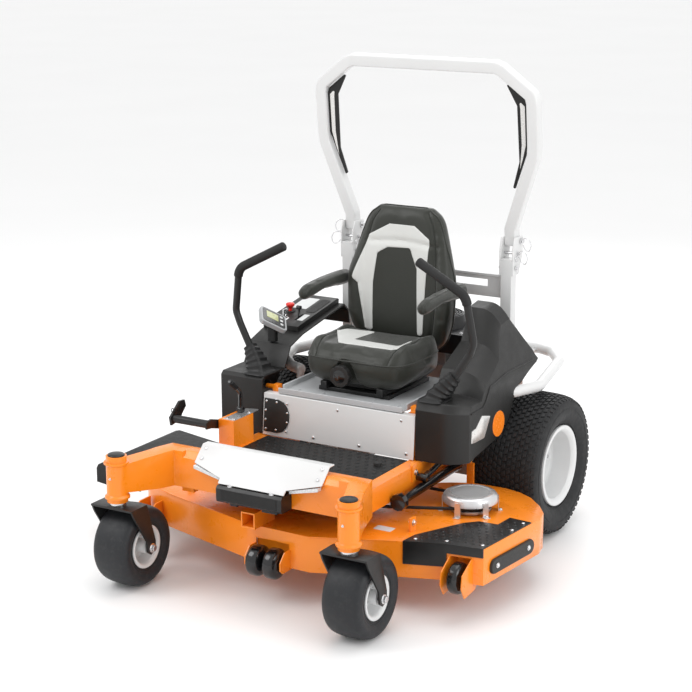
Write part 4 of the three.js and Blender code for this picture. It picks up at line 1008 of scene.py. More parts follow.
# ------------------------------------------------------------------ levers and their boots
for s, side in ((1, "left"), (-1, "right")):
    pts = [mir(p, s) for p in ((413, -590, 650), (420, -586, 680), (497, -553, 809), (549, -541, 893), (567, -544, 945), (537, -560, 1135), (322, -548, 1247))]
    full = rounded(pts, 62, 10)
    bm = bmesh.new()
    sweep(bm, full, circle(15.5, 32), (0, 1, 0), 3)
    make(side + "_bar", bm, BLACK, side + "_lap_bar", side + "_lever", smooth=50)
    # foam grip over the upper run, with rounded ends
    cut = [p for p in full if p.z > 1040]
    bm = bmesh.new()
    L = len(cut)
    sweep(bm, cut[:-1] + [cut[-1] + (cut[-1] - cut[-2]).normalized() * 1.0], circle(19.5, 40), (0, 1, 0), 7)
    make(side + "_grip", bm, SOFT_BLACK, side + "_lap_bar", smooth=60)

    def station(tt, k):
        return ((418 + 74 * tt) * s, -584 + 30 * tt, 704.3 + 96.7 * tt), k

    def half_size(tt):
        ks = [(0, 50, 62), (0.15, 45, 54), (0.35, 41, 45), (0.65, 36.5, 37), (1.0, 28, 28)]
        for (a, wa, da), (b2, wb, db) in zip(ks, ks[1:]):
            if tt <= b2:
                f = (tt - a) / (b2 - a)
                return wa + (wb - wa) * f, da + (db - da) * f
        return ks[-1][1:]

    def bellows(t0, t1, n, base):
        bm = bmesh.new()
        rings = []
        for i in range(n * 12 + 1):
            tt = t0 + (t1 - t0) * i / (n * 12)
            ph = (i % 12) / 12
            fold = 1.0 - 0.11 * (0.5 - 0.5 * math.cos(2 * math.pi * ph)) ** 0.6 - 0.015
            if base and i < 3:
                fold = 1.10
            w, d = half_size(tt)
            c = Vector(station(tt, 0)[0])
            ax = Vector((74 * s, 30, 96.7)).normalized().lerp(Vector((0, 0, 1)), 1 - min(1, tt * 1.6)).normalized()
            e1 = Vector((0, 1, 0)).cross(ax).normalized()
            e2 = ax.cross(e1)
            rr = min(w, d) * (0.45 + 0.4 * tt)
            rings.append([bm.verts.new(c + e1 * x + e2 * y) for x, y in rrect(2 * w * fold, 2 * d * fold, rr * fold * 0.98, 7)])
        for a, b in zip(rings, rings[1:]):
            m = len(a)
            for j in range(m):
                bm.faces.new((a[j], a[(j + 1) % m], b[(j + 1) % m], b[j]))
        bm.faces.new(list(reversed(rings[0])))
        bm.faces.new(rings[-1])
        return bm
    split = 0.25
    lo_b = make(side + "_boot_base", bellows(0.0, split, 1, True), RUBBER, None, side + "_boot", smooth=60)
    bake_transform(lo_b)
    hi_b = make(side + "_boot_top", bellows(split, 0.98, 4, False), RUBBER, None, side + "_boot", smooth=60)
    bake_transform(hi_b)

# ------------------------------------------------------------------ seat
def superellipse(cx, cy, hx, hy, e, n=72):
    out = []
    for i in range(n):
        a = 2 * math.pi * i / n
        c, s = math.cos(a), math.sin(a)
        out.append((cx + hx * math.copysign(abs(c) ** (2 / e), c), cy + hy * math.copysign(abs(s) ** (2 / e), s)))
    return out


def loft_rings(bm, rings):
    vr = [[bm.verts.new(p) for p in r] for r in rings]
    for a, b in zip(vr, vr[1:]):
        m = len(a)
        for j in range(m):
            bm.faces.new((a[j], a[(j + 1) % m], b[(j + 1) % m], b[j]))
    bm.faces.new(list(reversed(vr[0])))
    bm.faces.new(vr[-1])
    return bm


def crowned(keys, e, n=5, end=0.55):
    """Rings (z, cx, cy, hx, hy) smoothed, with rounded lower and upper ends."""
    z = [k[0] for k in keys]
    out = []
    arr = catmull([(k[1], k[2], k[3]) for k in keys], n)
    arr2 = catmull([(k[0], k[4], 0) for k in keys], n)
    st = [(b.x, a.x, a.y, a.z, b.y) for a, b in zip(arr, arr2)]
    rings = [[(x, y, zz) for x, y in superellipse(cx, cy, hx, hy, e)] for zz, cx, cy, hx, hy in st]

    def dome(s, sign, h):
        zz, cx, cy, hx, hy = s
        return [[(x, y, zz + sign * h * math.sin(RAD(a))) for x, y in superellipse(cx, cy, hx - h * 1.5 * (1 - math.cos(RAD(a))), hy - h * 1.5 * (1 - math.cos(RAD(a))), e)] for a in (25, 50, 72, 88)]
    return rings, dome, st


def puff(o, voxel, cap, frames=20, pressure=4.0):
    """Inflates a closed cushion a little as sewn cloth over foam, then keeps the result."""
    md = o.modifiers.new("remesh", "REMESH")
    md.mode = "VOXEL"
    md.voxel_size = voxel
    applied(o)
    base = np.empty(len(o.data.vertices) * 3)
    o.data.vertices.foreach_get("co", base)
    base = base.reshape(-1, 3)
    md = o.modifiers.new("cloth", "CLOTH")
    st = md.settings
    st.quality = 5
    st.mass = 0.3
    st.tension_stiffness = 18
    st.compression_stiffness = 18
    st.bending_stiffness = 2.5
    st.use_pressure = True
    st.uniform_pressure_force = pressure
    st.effector_weights.gravity = 0
    md.point_cache.frame_start = 1
    md.point_cache.frame_end = frames
    for f in range(1, frames + 1):
        scene.frame_set(f)
    dg = bpy.context.evaluated_depsgraph_get()
    me = bpy.data.meshes.new_from_object(o.evaluated_get(dg))
    o.modifiers.clear()
    co = np.empty(len(me.vertices) * 3)
    me.vertices.foreach_get("co", co)
    co = co.reshape(-1, 3)
    if len(co) == len(base):
        d = co - base
        ln = np.linalg.norm(d, axis=1, keepdims=True)
        d *= np.minimum(1, cap / np.maximum(ln, 1e-9))
        co = base + d
        me.vertices.foreach_set("co", co.ravel())
    o.data = me
    scene.frame_set(1)
    bm = bmesh.new()
    bm.from_mesh(o.data)
    for _ in range(4):
        bmesh.ops.smooth_vert(bm, verts=bm.verts, factor=0.5, use_axis_x=True, use_axis_y=True, use_axis_z=True)
    bm.to_mesh(o.data)
    bm.free()
    return o


def groove(o, curves, depth, width, direction, test=None):
    """Presses sewn channels into the surface along curves (design mm, projected along direction)."""
    me = o.data
    n = len(me.vertices)
    co = np.empty(n * 3)
    me.vertices.foreach_get("co", co)
    co = co.reshape(-1, 3)
    nor = np.empty(n * 3)
    me.vertex_normals.foreach_get("vector", nor)
    nor = nor.reshape(-1, 3)
    d = Vector(direction).normalized()
    ax = [i for i in range(3) if abs(d[i]) < 0.5]
    facing = nor @ np.array(d)
    best = np.full(n, 1e9)
    for c in curves:
        pts = np.array([[p[i] for i in ax] for p in [W(*q) for q in c]])
        for a, b in zip(pts, pts[1:]):
            ab = b - a
            t = np.clip(((co[:, ax] - a) @ ab) / max(ab @ ab, 1e-12), 0, 1)
            q = a + t[:, None] * ab
            best = np.minimum(best, np.linalg.norm(co[:, ax] - q, axis=1))
    k = np.exp(-(best / width) ** 2) * np.clip(facing * 1.6, 0, 1)
    co -= np.array(d) * (k * depth)[:, None]
    me.vertices.foreach_set("co", co.ravel())
    me.update()
    return o


def tree(o):
    dg = bpy.context.evaluated_depsgraph_get()
    return BVHTree.FromObject(o, dg)


def stuck_cord(name, bvh, pts, direction, r, mat, body, closed=False, out=0.35):
    """A cord of piping or stitching laid on the surface."""
    d = Vector(direction).normalized()
    path = []
    for p in pts:
        q = W(*p)
        if direction is not None and d.length:
            hit = bvh.ray_cast(q + d * 0.4, -d)
            if hit[0] is None:
                hit = bvh.find_nearest(q)
        path.append(hit[0] + hit[1] * (r * out / 1000))
    bm = bmesh.new()
    path = [Vector((p.x * 1000 + OX, p.y * 1000 + OY, p.z * 1000)) for p in path]
    if not closed:
        sweep(bm, path, circle(r, 10), (0.3, 0.2, 1), r * 0.8)
    else:
        sweep(bm, path, circle(r, 10), (0.3, 0.2, 1), 0, closed=True)
    return make(name, bm, mat, body, smooth=70)


def stuck_nearest(name, bvh, pts, r, mat, body, closed=True, out=0.3):
    path = []
    for p in pts:
        hit = bvh.find_nearest(W(*p))
        q = hit[0] + hit[1] * (r * out / 1000)
        path.append(Vector((q.x * 1000 + OX, q.y * 1000 + OY, q.z * 1000)))
    if closed:
        for _ in range(6):
            path = [(path[i - 1] + path[i] * 2 + path[(i + 1) % len(path)]) / 4 for i in range(len(path))]
    bm = bmesh.new()
    sweep(bm, path, circle(r, 10), (0, 0, 1), 0, closed=closed)
    return make(name, bm, mat, body, smooth=70)


def patch(name, bvh, outline, plane, at, step, thick, mat, body, round_r=10):
    """A thin sewn panel with the given outline, laid over the surface; plane 'XZ' looks along +Y, 'XY' looks down."""
    pts = [(p.x, p.y) for p in rounded([(a, b, 0) for a, b in outline + [outline[0]]], round_r, 4)[:-1]]
    bm = bmesh.new()
    if plane == "XZ":
        vs = [bm.verts.new((x, at, z)) for x, z in pts]
    else:
        vs = [bm.verts.new((x, y, at)) for x, y in pts]
    bm.faces.new(vs)
    lo = [min(p[i] for p in pts) for i in (0, 1)]
    hi = [max(p[i] for p in pts) for i in (0, 1)]
    second = (0, 0, 1) if plane == "XZ" else (0, 1, 0)
    for i, nn in ((0, (1, 0, 0)), (1, second)):
        v = lo[i] + step
        while v < hi[i]:
            co = (v, 0, 0) if i == 0 else ((0, 0, v) if plane == "XZ" else (0, v, 0))
            bmesh.ops.bisect_plane(bm, geom=bm.verts[:] + bm.edges[:] + bm.faces[:], plane_co=co, plane_no=nn)
            v += step
    d = Vector((0, 1, 0)) if plane == "XZ" else Vector((0, 0, -1))
    for v in bm.verts:
        q = W(v.co)
        hit = bvh.ray_cast(q - d * 0.3, d)
        if hit[0] is None:
            hit = bvh.find_nearest(q)
        p = hit[0] + hit[1] * (thick * 0.5 / 1000)
        v.co = p
    bmesh.ops.triangulate(bm, faces=[f for f in bm.faces if len(f.verts) > 4])
    bmesh.ops.recalc_face_normals(bm, faces=bm.faces)
    me = bpy.data.meshes.new(name)
    bm.to_mesh(me)
    bm.free()
    o = wrap(name, me, mat, body, (), 40)
    md = o.modifiers.new("cloth_thickness", "SOLIDIFY")
    md.thickness = thick / 1000
    md.offset = 0
    return o


# cushion
keys = [(697, 0, -350, 214, 182), (722, 0, -357, 244, 197), (760, 0, -359, 250, 202), (800, 0, -358, 250, 201), (826, 0, -352, 240, 192)]
rings, dome, st = crowned(keys, 5.0, 4)
allr = list(reversed(dome(st[0], -1, 5))) + rings + dome(st[-1], 1, 14)
bm = loft_rings(bmesh.new(), allr)
o = rawobj(bm)
b = bmesh.new()
prism(b, [(-30 + 56 * math.cos(RAD(a)), 735 + 56 * math.sin(RAD(a))) for a in range(0, 181, 10)] + [(-86, 690), (26, 690)], "Y", -620, -532)
boolean(o, rawobj(b))
o = puff(o, 0.0065, 0.012)
# bolsters, dished middle
me = o.data
co = np.empty(len(me.vertices) * 3)
me.vertices.foreach_get("co", co)
co = co.reshape(-1, 3)
X = co[:, 0] * 1000 + OX
Y = co[:, 1] * 1000 + OY
Z = co[:, 2] * 1000
k = np.clip((Z - 800) / 34, 0, 1)
sm = np.clip((np.abs(X) - 150) / 62, 0, 1)
sm = sm * sm * (3 - 2 * sm)
fade = np.clip((Y + 555) / 90, 0, 1) * np.clip((-150 - Y) / 60 + 0.4, 0, 1)
edge = np.clip((252 - np.abs(X)) / 26, 0, 1) ** 0.6
dz = k * (sm * fade * 22 * edge - (1 - sm) * 5 * fade)
roll = np.clip((-480 - Y) / 80, 0, 1)
dz -= k * roll * roll * 12
co[:, 2] += dz / 1000
me.vertices.foreach_set("co", co.ravel())
me.update()
top_line = lambda pts: [(p.x, p.y, 850) for p in catmull([(a, b, 0) for a, b in pts], 8)]
groove(o, [top_line([(-176, -150), (-186, -300), (-190, -420), (-168, -560)]), top_line([(176, -150), (186, -300), (190, -420), (168, -560)]),
           top_line([(-180, -205), (0, -212), (180, -205)])], 0.007, 0.008, (0, 0, 1))
me.materials.append(VINYL)
me.polygons.foreach_set("use_smooth", [True] * len(me.polygons))
cushion = o
cushion.name = "seat_base_pad"
md = o.modifiers.new("fine", "SUBSURF")
md.levels = md.render_levels = 1
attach(o, "seat")
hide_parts("seat_cushion")
bv = tree(o)
ring = [(x, y, 798) for x, y in superellipse(0, -358, 256, 206, 5.0, 120)]
stuck_nearest("cushion_piping", bv, ring, 3.4, VINYL, "seat")
ring = [(-30 + 58 * math.cos(RAD(a)), -570, 735 + 58 * math.sin(RAD(a))) for a in range(0, 181, 6)]
inl = [(-197, -324), (-158, -247), (-52, -240), (-71, -395), (151, -408), (157, -239), (183, -477), (-99, -476)]
inlay_a = patch("cushion_inlay", bv, inl, "XY", 860, 9, 2.2, INLAY, "seat", 14)
for i, pts in enumerate(([(-176, -160), (-186, -300), (-190, -420), (-170, -545)], [(176, -160), (186, -300), (190, -420), (170, -545)])):
    cc = [(p.x, p.y, 860) for p in catmull([(a, b, 0) for a, b in pts], 12)]
    stuck_cord("cushion_seam_%d" % i, bv, cc, (0, 0, 1), 1.6, THREAD, "seat")

# seat back
keys = [(749, 0, -85, 168, 43), (800, 0, -86, 216, 50), (900, 0, -83, 244, 55), (1060, 0, -79, 250, 54), (1150, 0, -75, 234, 52), (1290, 0, -66, 198, 44), (1346, 0, -63, 172, 38), (1372, 0, -62, 140, 30)]
rings, dome, st = crowned(keys, 3.6, 5)
allr = list(reversed(dome(st[0], -1, 8))) + rings + dome(st[-1], 1, 9)
o = rawobj(loft_rings(bmesh.new(), allr))
o = puff(o, 0.0075, 0.010)
me = o.data
co = np.empty(len(me.vertices) * 3)
me.vertices.foreach_get("co", co)
co = co.reshape(-1, 3)
X = co[:, 0] * 1000 + OX
Y = co[:, 1] * 1000 + OY
Z = co[:, 2] * 1000
front = np.clip((-95 - Y) / 25, 0, 1)
lim = np.interp(Z, [745, 800, 900, 1060, 1150, 1290, 1383], [120, 150, 168, 176, 168, 148, 120])
sm = np.clip(np.abs(np.abs(X) - lim - 26) / 34, 0, 1)
sm = 1 - sm * sm * (3 - 2 * sm)
dy = -front * sm * 7.0 + front * (np.abs(X) < lim) * np.cos(np.clip(X / lim, -1, 1) * math.pi / 2) * 7.0
# wings that wrap forward round the sitter
wing = np.clip((np.abs(X) - 158) / 78, 0, 1)
wing = wing * wing * (3 - 2 * wing)
tall = np.interp(Z, [745, 800, 900, 1080, 1180, 1300, 1390], [0.2, 0.7, 1.0, 1.0, 0.72, 0.42, 0.25])
half = np.clip((-40 - Y) / 90, 0, 1)
dy -= wing * tall * (18 + 34 * half)
co[:, 0] += np.sign(X) * wing * tall * 12 / 1000
co[:, 1] += dy / 1000
me.vertices.foreach_set("co", co.ravel())
me.update()
face = lambda pts: [(p.x, -200, p.y) for p in catmull([(a, b, 0) for a, b in pts], 8)]
gl = [(-128, 770), (-160, 840), (-176, 950), (-182, 1060), (-172, 1160), (-150, 1290), (-118, 1352)]
gr = [(-a, b) for a, b in gl]
groove(o, [face(gl), face(gr), face([(-172, 1215), (-60, 1228), (60, 1228), (172, 1215)])], 0.008, 0.0085, (0, -1, 0))
me.materials.append(VINYL)
me.polygons.foreach_set("use_smooth", [True] * len(me.polygons))
o.name = "seat_back_pad"
md = o.modifiers.new("fine", "SUBSURF")
md.levels = md.render_levels = 1
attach(o, "seat")
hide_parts("seat_back")
bv2 = tree(o)
outline = [(-58, 1298), (63, 1298), (139, 1246), (134, 1121), (120, 832), (95, 829), (87, 1116), (48, 1203), (-61, 1198), (-109, 1170), (-126, 1041), (-126, 828), (-165, 826), (-194, 1034), (-217, 1060), (-158, 1243)]
patch("back_inlay", bv2, outline, "XZ", -250, 9, 2.2, INLAY, "seat", 13)
for i, g in enumerate((gl, gr)):
    cc = [(p.x, -200, p.y) for p in catmull([(a, b, 0) for a, b in g], 12)]
    stuck_cord("back_seam_%d" % i, bv2, cc, (0, -1, 0), 1.6, THREAD, "seat")
# piping round the edge between the face and the shell
edge = []
ek = [(749, 168), (800, 216), (900, 244), (1060, 250), (1150, 234), (1290, 198), (1346, 172), (1380, 130)]
ec = catmull([(w, z, 0) for z, w in ek], 8)
edge = [(p.x + 8, -100, p.y) for p in ec] + [(x, -70, 1388) for x in np.linspace(100, -100, 12)] + [(-p.x - 8, -100, p.y) for p in reversed(ec)]
stuck_nearest("back_piping", bv2, edge, 3.2, VINYL, "seat", closed=False)

# armrests
prof = [(-476, 1030), (-470, 1052), (-430, 1068), (-300, 1078), (-140, 1080), (-85, 1072), (-75, 1035), (-95, 1010), (-150, 1012), (-300, 1020), (-420, 1004), (-462, 1008)]
for s, side in ((1, "left"), (-1, "right")):
    bm = bmesh.new()
    pp = rounded([(y, z, 0) for y, z in prof + [prof[0]]], 14, 4)[:-1]
    prism(bm, [(p.x, p.y) for p in pp], "X", 262 * s, 308 * s)
    bmesh.ops.recalc_face_normals(bm, faces=bm.faces)
    es = [e for e in bm.edges if abs(e.verts[0].co.x - e.verts[1].co.x) < 1]
    bmesh.ops.bevel(bm, geom=es, offset=12, segments=4, affect="EDGES", clamp_overlap=True)
    o = rawobj(bm)
    puff(o, 0.006, 0.006)
    o.data.materials.append(VINYL)
    o.data.polygons.foreach_set("use_smooth", [True] * len(o.data.polygons))
    o.name = side + "_arm_pad"
    md = o.modifiers.new("fine", "SUBSURF")
    md.levels = md.render_levels = 1
    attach(o, side + "_arm")
    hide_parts(side + "_armrest")
    bva = tree(o)
    line = [(285 * s + 30 * s, p.x, p.y) for p in pp]
    stuck_nearest(side + "_arm_piping", bva, [(303 * s, p.x, p.y) for p in rounded([(y, z, 0) for y, z in prof + [prof[0]]], 14, 4)[:-1]], 1.8, VINYL, side + "_arm")
    turned(side + "_arm_boss", [(0, 0), (24, 0), (24, 4), (21, 7), (0, 7)], (258 * s, -112, 1045), (-s, 0, 0), SOFT_BLACK, side + "_arm", 40) if False else None

# suspension knob with a finger-grip rim
lo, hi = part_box("seat_knob")
kc = ((lo[0] + hi[0]) * 500 + OX, lo[1] * 1000 + OY, (lo[2] + hi[2]) * 500)
bm = bmesh.new()
dep = (hi[1] - lo[1]) * 1000
pts = []
for i in range(160):
    a = 2 * math.pi * i / 160
    r = 45.6 - 2.6 * (0.5 - 0.5 * math.cos(a * 10)) ** 3
    pts.append((kc[0] + r * math.cos(a), kc[2] + r * math.sin(a)))
prism(bm, pts, "Y", kc[1] + 0.3, kc[1] + min(dep, 30))
make("adjuster_knob", bm, PLASTIC, "seat_adjust_knob", "seat_knob", smooth=30)
bevel(bpy.data.objects["adjuster_knob"], 2.5, 3, 40)
turned("adjuster_stem", [(0, 20), (15, 20), (15, dep - 0.5), (0, dep - 0.5)], (kc[0], kc[1], kc[2]), (0, 1, 0), SOFT_BLACK, "seat_adjust_knob", 32)
turned("adjuster_face", [(0, -0.1), (27, -0.1), (29, 1.2), (29, 3), (0, 3)], (kc[0], kc[1], kc[2]), (0, 1, 0), BLACK_GLOSS, "seat_adjust_knob", 56)

# ------------------------------------------------------------------ front of the machine
for s, side in ((1, "left"), (-1, "right")):
    pass
refine("light_bar", LENS, "chassis", 2.5, 4)
bm = bmesh.new()
for s in (1, -1):
    # blocks for a dark backing round each lamp strip; this bmesh is freed below without being made into an object
    block(bm, *sorted((150 * s, 164 * s)), -1262, -1243, 458, 508)
b = Bolts()
sl = Vector((0, -104, 108 * 0 - 108)).normalized()
# corner bolts of the sloping front cover
pn = Vector((0, -1 * (566 - 462), (1303 - 1195))).normalized()
pn = Vector((0, -(566 - 462) / 150.0, (1303 - 1195) / 150.0)).normalized()
for x, f in ((-268, 0.12), (268, 0.12), (-268, 0.42), (268, 0.42)):
    y = -1195 - f * 108
    z = 571 - f * 106
    b.dome((x, y, z + 1.5), pn, 7, 4)
b.done("front_cover_bolts", CHROME, "chassis")
bm.free()

# raised dots of the foot platform and step plate: staggered low domes
bm = bmesh.new()


def dot(bm, x, y, z, r=6.2, h=2.4):
    lathe(bm, [(0, -0.8), (r, -0.8), (r, 0.2), (r * 0.8, h * 0.7), (r * 0.45, h), (0, h * 1.04)], (x, y, z), (0, 0, 1), 14)


for i in range(17):
    for j in range(13):
        x = -318 + i * 40 + (20 if j % 2 else 0)
        y = -1136 + j * 37.5
        if x > 326 or (abs(x - 270) < 27 and abs(y + 790) < 27):
            continue
        dot(bm, x, y, 455.5, 9.5, 3.2)
make("platform_dots", bm, SOFT_BLACK, "chassis", smooth=60)
bm = bmesh.new()
poly = [(553, -1084), (702, -1032), (856, -1010), (880, -760), (889, -662), (792, -654), (786, -748), (706, -752), (660, -800), (560, -1010)]


def inside(x, y, pts, m=9):
    ins = False
    n = len(pts)
    dmin = 1e9
    for i in range(n):
        (x0, y0), (x1, y1) = pts[i], pts[(i + 1) % n]
        if (y0 > y) != (y1 > y) and x < (x1 - x0) * (y - y0) / (y1 - y0) + x0:
            ins = not ins
        dx, dy = x1 - x0, y1 - y0
        tt = max(0, min(1, ((x - x0) * dx + (y - y0) * dy) / (dx * dx + dy * dy)))
        dmin = min(dmin, math.hypot(x - x0 - tt * dx, y - y0 - tt * dy))
    return ins and dmin > m


for i in range(20):
    for j in range(26):
        x = 560 + i * 32 + (16 if j % 2 else 0)
        y = -1074 + j * 29
        if i < 12 and inside(x, y, poly, 12):
            dot(bm, x, y, 289.5, 7.0, 2.6)
make("step_dots", bm, BLACK, "deck", smooth=60)

# platform stud, grommet with a black disc of painted shade for its hole, and gauge plate
turned("platform_stud", [(0, 455), (16, 455), (16, 466), (13, 470.5), (0, 471.5)], (270, -790, 0), (0, 0, 1), SOFT_BLACK, "chassis", 40)
turned("beam_grommet", [(12, 540.3), (24, 540.3), (25, 542), (22, 545), (14, 545), (12, 543)], (-215, -1190, 0), (0, 0, 1), SOFT_BLACK, "chassis", 40)
# a thin black disc inside the grommet is painted shade standing in for the hole
turned("beam_hole_painted_shade", [(0, 540.2), (12, 540.2), (12, 541.2), (0, 541.2)], (-215, -1190, 0), (0, 0, 1), BLACK, "chassis", 32)
solidpiece("gauge_plate", lambda q: prism(q, [(p.x, p.y) for p in rounded([(-406, -890, 0), (-350, -890, 0), (-350, -700, 0), (-406, -718, 0), (-406, -890, 0)], 10, 5)[:-1]], "Z", 575.2, 578.2), SILVER, "chassis", 0.8, 2)
b = Bolts()
for x, y in ((-362, -878), (-362, -765), (-394, -765), (-394, -878)):
    b.hex((x, y, 578.4), (0, 0, 1), 6.5, 5)
# seat box panel and inspection cover fasteners
for x in (-330, -110, 110, 330):
    b.dome((x, -663.5, 480), (0, -1, 0.09), 7, 3.5)
for x in (-300, 0, 300):
    b.dome((x, -650.5, 612), (0, -1, 0.09), 6, 3)
for x in (-344, -294, -244):
    for z in (486, 604):
        b.dome((x, -668 + (z - 458) * 0.09, z), (0, -1, 0.09), 5, 3)
for z in (525, 565):
    for x in (-347, -241):
        b.dome((x, -668 + (z - 458) * 0.09, z), (0, -1, 0.09), 5, 3)
for x, y in ((-276, -620), (276, -620), (-276, -130), (276, -130)):
    pass
b.done("panel_fasteners", CHROME, "chassis")
b = Bolts()
for s in (1, -1):
    for y in (-1255, -1298):
        b.hex((s * 96, y, 457.4), (0, 0, 1), 9, 7)
b.done("bumper_block_bolts", CHROME, "chassis")
solidpiece("bumper_block_face", lambda q: block(q, -128, 128, -1319, -1316.5, 402, 446), SOFT_BLACK, "chassis", 0.9, 2)
for s in (1, -1):
    # fold welds where the arms meet the front beam
    bm = bmesh.new()
    for pts in ([(402 * s, -1238, 396), (402 * s, -1238, 514), (402 * s, -1216, 538), (402 * s, -1172, 539)],):
        q = []
        for a, c in zip(pts, pts[1:]):
            for k in range(14):
                f = k / 14
                q.append(tuple(a[i] + (c[i] - a[i]) * f for i in range(3)))
        sweep(bm, q, circle(3.4, 8), (0, 0.2, 1), 1, scale=None)
    make("left_arm_weld" if s > 0 else "right_arm_weld", bm, ORANGE, "chassis", smooth=60)

# seat plate ribs
bm = bmesh.new()
for x in (-240, -120, 120, 240):
    sweep(bm, [(x, -600, 646.2), (x, -560, 646.2)], rrect(14, 5, 2.2, 3), (0, 0, 1), 2)
make("seat_plate_ribs", bm, GREY, "seat_frame", smooth=40)

# rubber cover pleats of the suspension, seen between seat and plate
bm = bmesh.new()
for k in range(5):
    z = 652 + k * 8.6
    sweep(bm, [(x, -350 + y, z) for x, y in rrect(404, 326, 26, 6)], circle(3.9, 10), (0, 0, 1), 0, closed=True)
lo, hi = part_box("seat_suspension")
make("suspension_pleats", bm, SOFT_BLACK, "seat_frame", smooth=60) if (hi[0] - lo[0]) > 0.36 else bm.free()

# ------------------------------------------------------------------ deck top
for n, body in (("left_spindle", "left_blade"), ("center_spindle", "center_blade"), ("right_spindle", "right_blade")):
    refine(n, STEEL, body, 1.2, 2, 40)
for (x, y), body, n in (((610, -640), "left_blade", "left"), ((85, -880), "center_blade", "center"), ((-440, -640), "right_blade", "right")):
    turned(n + "_pulley_cap", [(0, 342.6), (60, 342.6), (62, 344.5), (58, 347), (44, 347.6), (42, 350.5), (26, 351.5), (24, 349.5), (0, 349.5)], (x, y, 0), (0, 0, 1), SILVER, body, 72)
    turned(n + "_pulley_disc", [(0, 349.2), (20, 349.2), (20, 352.5), (17, 353.6), (0, 353.6)], (x, y, 0), (0, 0, 1), SOFT_BLACK, body, 40)
    b = Bolts()
    for k in range(6):
        a = RAD(60 * k + 12)
        b.hex((x + 52 * math.cos(a), y + 52 * math.sin(a), 346.2), (0, 0, 1), 5, 2.4)
    b.done(n + "_cap_bolts", CHROME, body)

for x, n in ((610, "left"), (-440, "right")):
    y = -640
    drop = 0 if n == "left" else 14
    turned(n + "_belt_cover", soft_profile([(0, 356), (72, 356), (74, 362), (98, 361), (108, 352), (110, 326), (107, 326), (104.5, 350), (96, 357.5), (0, 354)], 1.2, 2)[0:0] or
           [(76, 357), (78, 361.5), (92, 362.5), (103, 358), (108.5, 350), (110, 326), (107.5, 326), (106, 348), (101, 355), (92, 359.5), (78, 358.5)], (x, y, -drop), (0, 0, 1), SILVER, "deck", 96)
    if n == "left":
        turned(n + "_cover_disc", [(0, 356.5), (76.5, 356.5), (77.5, 358), (76, 361.8), (60, 363.2), (0, 364.2)], (x, y, 0), (0, 0, 1), ALLOY, "deck", 96)
    bm = bmesh.new()
    for k in range(6):
        a = RAD(60 * k + 30)
        if k in (1, 4) and n == "x":
            continue
        e, f = Vector((math.cos(a), math.sin(a), 0)), Vector((-math.sin(a), math.cos(a), 0))
        c0 = Vector((x, y, 0))
        for r0, r1, z0, z1, w in ((110.2, 113.0, 288, 346, 13), (110.2, 128, 285.4, 288.4, 13)):
            vs = [bm.verts.new(c0 + e * rr_ + f * ww_ + Vector((0, 0, zz_))) for zz_ in (z0, z1) for rr_, ww_ in ((r0, -w), (r1, -w), (r1, w), (r0, w))]
            for q in ((0, 3, 2, 1), (4, 5, 6, 7), (0, 1, 5, 4), (1, 2, 6, 5), (2, 3, 7, 6), (3, 0, 4, 7)):
                bm.faces.new([vs[i] for i in q])
    bevel(make(n + "_cover_tabs", bm, SILVER, "deck"), 0.9, 2)
    b = Bolts()
    for k in range(6):
        a = RAD(60 * k + 30)
        b.hex((x + 121 * math.cos(a), y + 121 * math.sin(a), 288.6), (0, 0, 1), 5, 4)
    b.done(n + "_cover_bolts", CHROME, "deck")

b = Bolts()
for s in (1, -1):
    b.hex((s * 462, -343.6, 355), (0, 1, 0), 9, 7)
    b.hex((s * 530.5, -965, 318), (s, 0, 0), 10, 8)
    b.hex((s * 519.5, -965, 318), (-s, 0, 0), 10, 8)
for x, y in ((585, -1050), (700, -1012), (838, -985), (862, -780), (866, -690)):
    b.dome((x, y, 290), (0, 0, 1), 8, 4)
b.done("deck_bolts", CHROME, "deck")
# wear pad on the deck's left wall
mid1, mid2 = Vector((861, -972, 0)), Vector((891, -655, 0))
bm = bmesh.new()
dirv = (mid2 - mid1).normalized()
out = Vector((dirv.y, -dirv.x, 0))
L = (mid2 - mid1).length
pts2 = rrect(L, 62, 30, 10)
base = (mid1 + mid2) / 2
lo = [bm.verts.new(base + dirv * a + Vector((0, 0, 198 + z)) + out * 0.2) for a, z in pts2]
hi = [bm.verts.new(base + dirv * a * 0.985 + Vector((0, 0, 198 + z * 0.93)) + out * 11.5) for a, z in pts2]
bm.faces.new(lo)
bm.faces.new(list(reversed(hi)))
for i in range(len(pts2)):
    j = (i + 1) % len(pts2)
    bm.faces.new((lo[i], lo[j], hi[j], hi[i]))
bevel(make("deck_wear_pad", bm, PAD, "deck"), 3, 3, 40)
b = Bolts()
for k in (-1, 1):
    p = base + dirv * (k * L * 0.36) + Vector((0, 0, 198)) + out * 11.0
    b.hex(p, out, 8, 5)
b.done("wear_pad_bolts", CHROME, "deck")
# blank plate on the deck
solidpiece("deck_label", lambda q: prism(q, [(420 + x, -1000 + y) for x, y in rrect(76, 46, 5, 3)], "Z", 284.6, 286.0), LABEL, "deck", 0.3, 2)
# turned lip along the deck's front upper edge
edge = [(-542, -1084), (-78, -1218)]
bm = bmesh.new()
for a, c in (((-700, -1018), (-542, -1084)), ((-542, -1084), (-80, -1217.5)), ((222, -1226), (533, -1093.5))):
    sweep(bm, [(a[0], a[1], 285.6), ((a[0] + c[0]) / 2, (a[1] + c[1]) / 2, 285.6), (c[0], c[1], 285.6)], rrect(7, 4.6, 1.8, 3), (0, 0, 1), 1)
make("deck_front_lip", bm, ORANGE, "deck", smooth=50)

# chute: nothing is added to the refined CAD piece here; the meshes below are freed unused
bm = bmesh.new()
lo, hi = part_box("discharge_chute")
for k in range(4):
    y = -965 + k * 160
    prism(bm, [(y, 300), (y + 9, 300), (y + 9, 324), (y, 324)][::-1], "X", -800, -742) if False else None
bm.free()
b = Bolts()
for k in range(3):
    pass
b.bm.free()
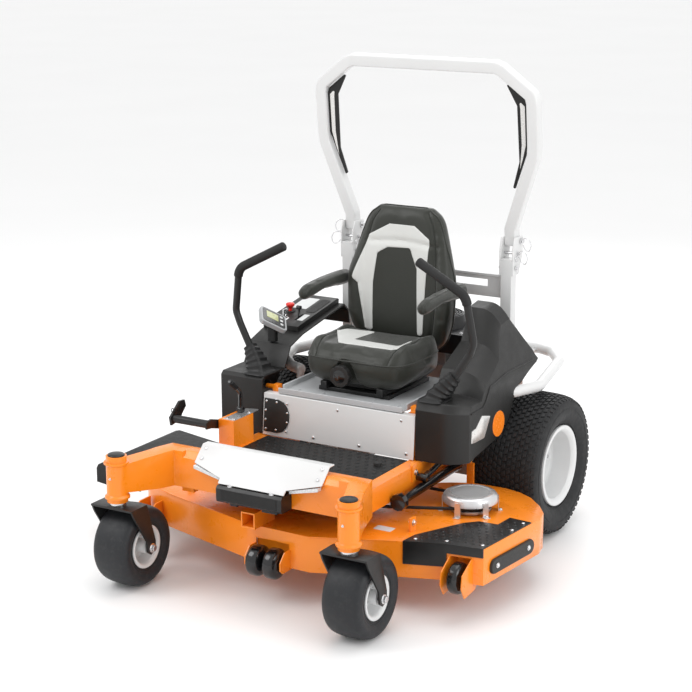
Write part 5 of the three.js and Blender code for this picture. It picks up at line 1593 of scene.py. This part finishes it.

# lift strut: bracket bolts; height lever grip
b = Bolts()
b.hex((402.8, -715, 430), (1, 0, 0), 9, 8)
b.hex((-424.5, -820, 531), (1, 0, 0), 9, 7)
b.done("strut_bolts", CHROME, "chassis")
lo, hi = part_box("height_lever")
bm = bmesh.new()
p1, p2 = Vector((-800, 689, 0)), Vector((-851, 730, 0))
sweep(bm, [(-395, -812, 695), (-395, -826, 706), (-395, -846, 722)], circle(12.5, 28), (1, 0, 0), 5)
make("height_lever_grip", bm, SOFT_BLACK, "height_selector", smooth=60)

# holes' rims on the pedal plate
bm = bmesh.new()
for y, z in ((-955, 600), (-927, 600), (-899, 600), (-941, 574), (-913, 574)):
    lathe(bm, [(6.2, 0.0), (9.4, 0.0), (9.0, 1.6), (6.4, 1.6)], (-604.2, y, z), (1, 0, 0), 20)
    lathe(bm, [(6.2, 0.0), (9.4, 0.0), (9.0, 1.6), (6.4, 1.6)], (-613.8, y, z), (-1, 0, 0), 20)
make("pedal_grip_rings", bm, BLACK, "pedal", smooth=50)

# engine: recoil screen, oil cap and cowl bolts
bm = bmesh.new()
for k in range(7):
    r = 26 + k * 13
    lathe(bm, [(r, 841.5), (r + 5, 841.5), (r + 4.2, 845.5), (r + 0.8, 845.5)], (0, 235, 0), (0, 0, 1), 64)
for k in range(12):
    a = RAD(30 * k)
    sweep(bm, [(24 * math.cos(a), 235 + 24 * math.sin(a), 842.5), (109 * math.cos(a), 235 + 109 * math.sin(a), 842.5)], rrect(4, 4, 1, 2), (0, 0, 1), 0.4)
make("cooling_screen", bm, SHROUD, "chassis", smooth=50)
turned("oil_cap", [(0, 789.5), (20, 789.5), (20, 800), (17, 806), (0, 807)], (150, 330, 0), (0, 0, 1), SOFT_BLACK, "chassis", 40)
bm = bmesh.new()
for s in (1, -1):
    for k in range(5):
        z = 560 + k * 22
        block(bm, *sorted((118 * s, 216 * s)), 146, 304, z, z + 3) if False else None
bm.free()
b = Bolts()
for x, y in ((-170, 120), (170, 120), (170, 355), (-170, 365)):
    b.hex((x, y, 790.3), (0, 0, 1), 7, 6)
b.done("cowl_bolts", CHROME, "chassis")
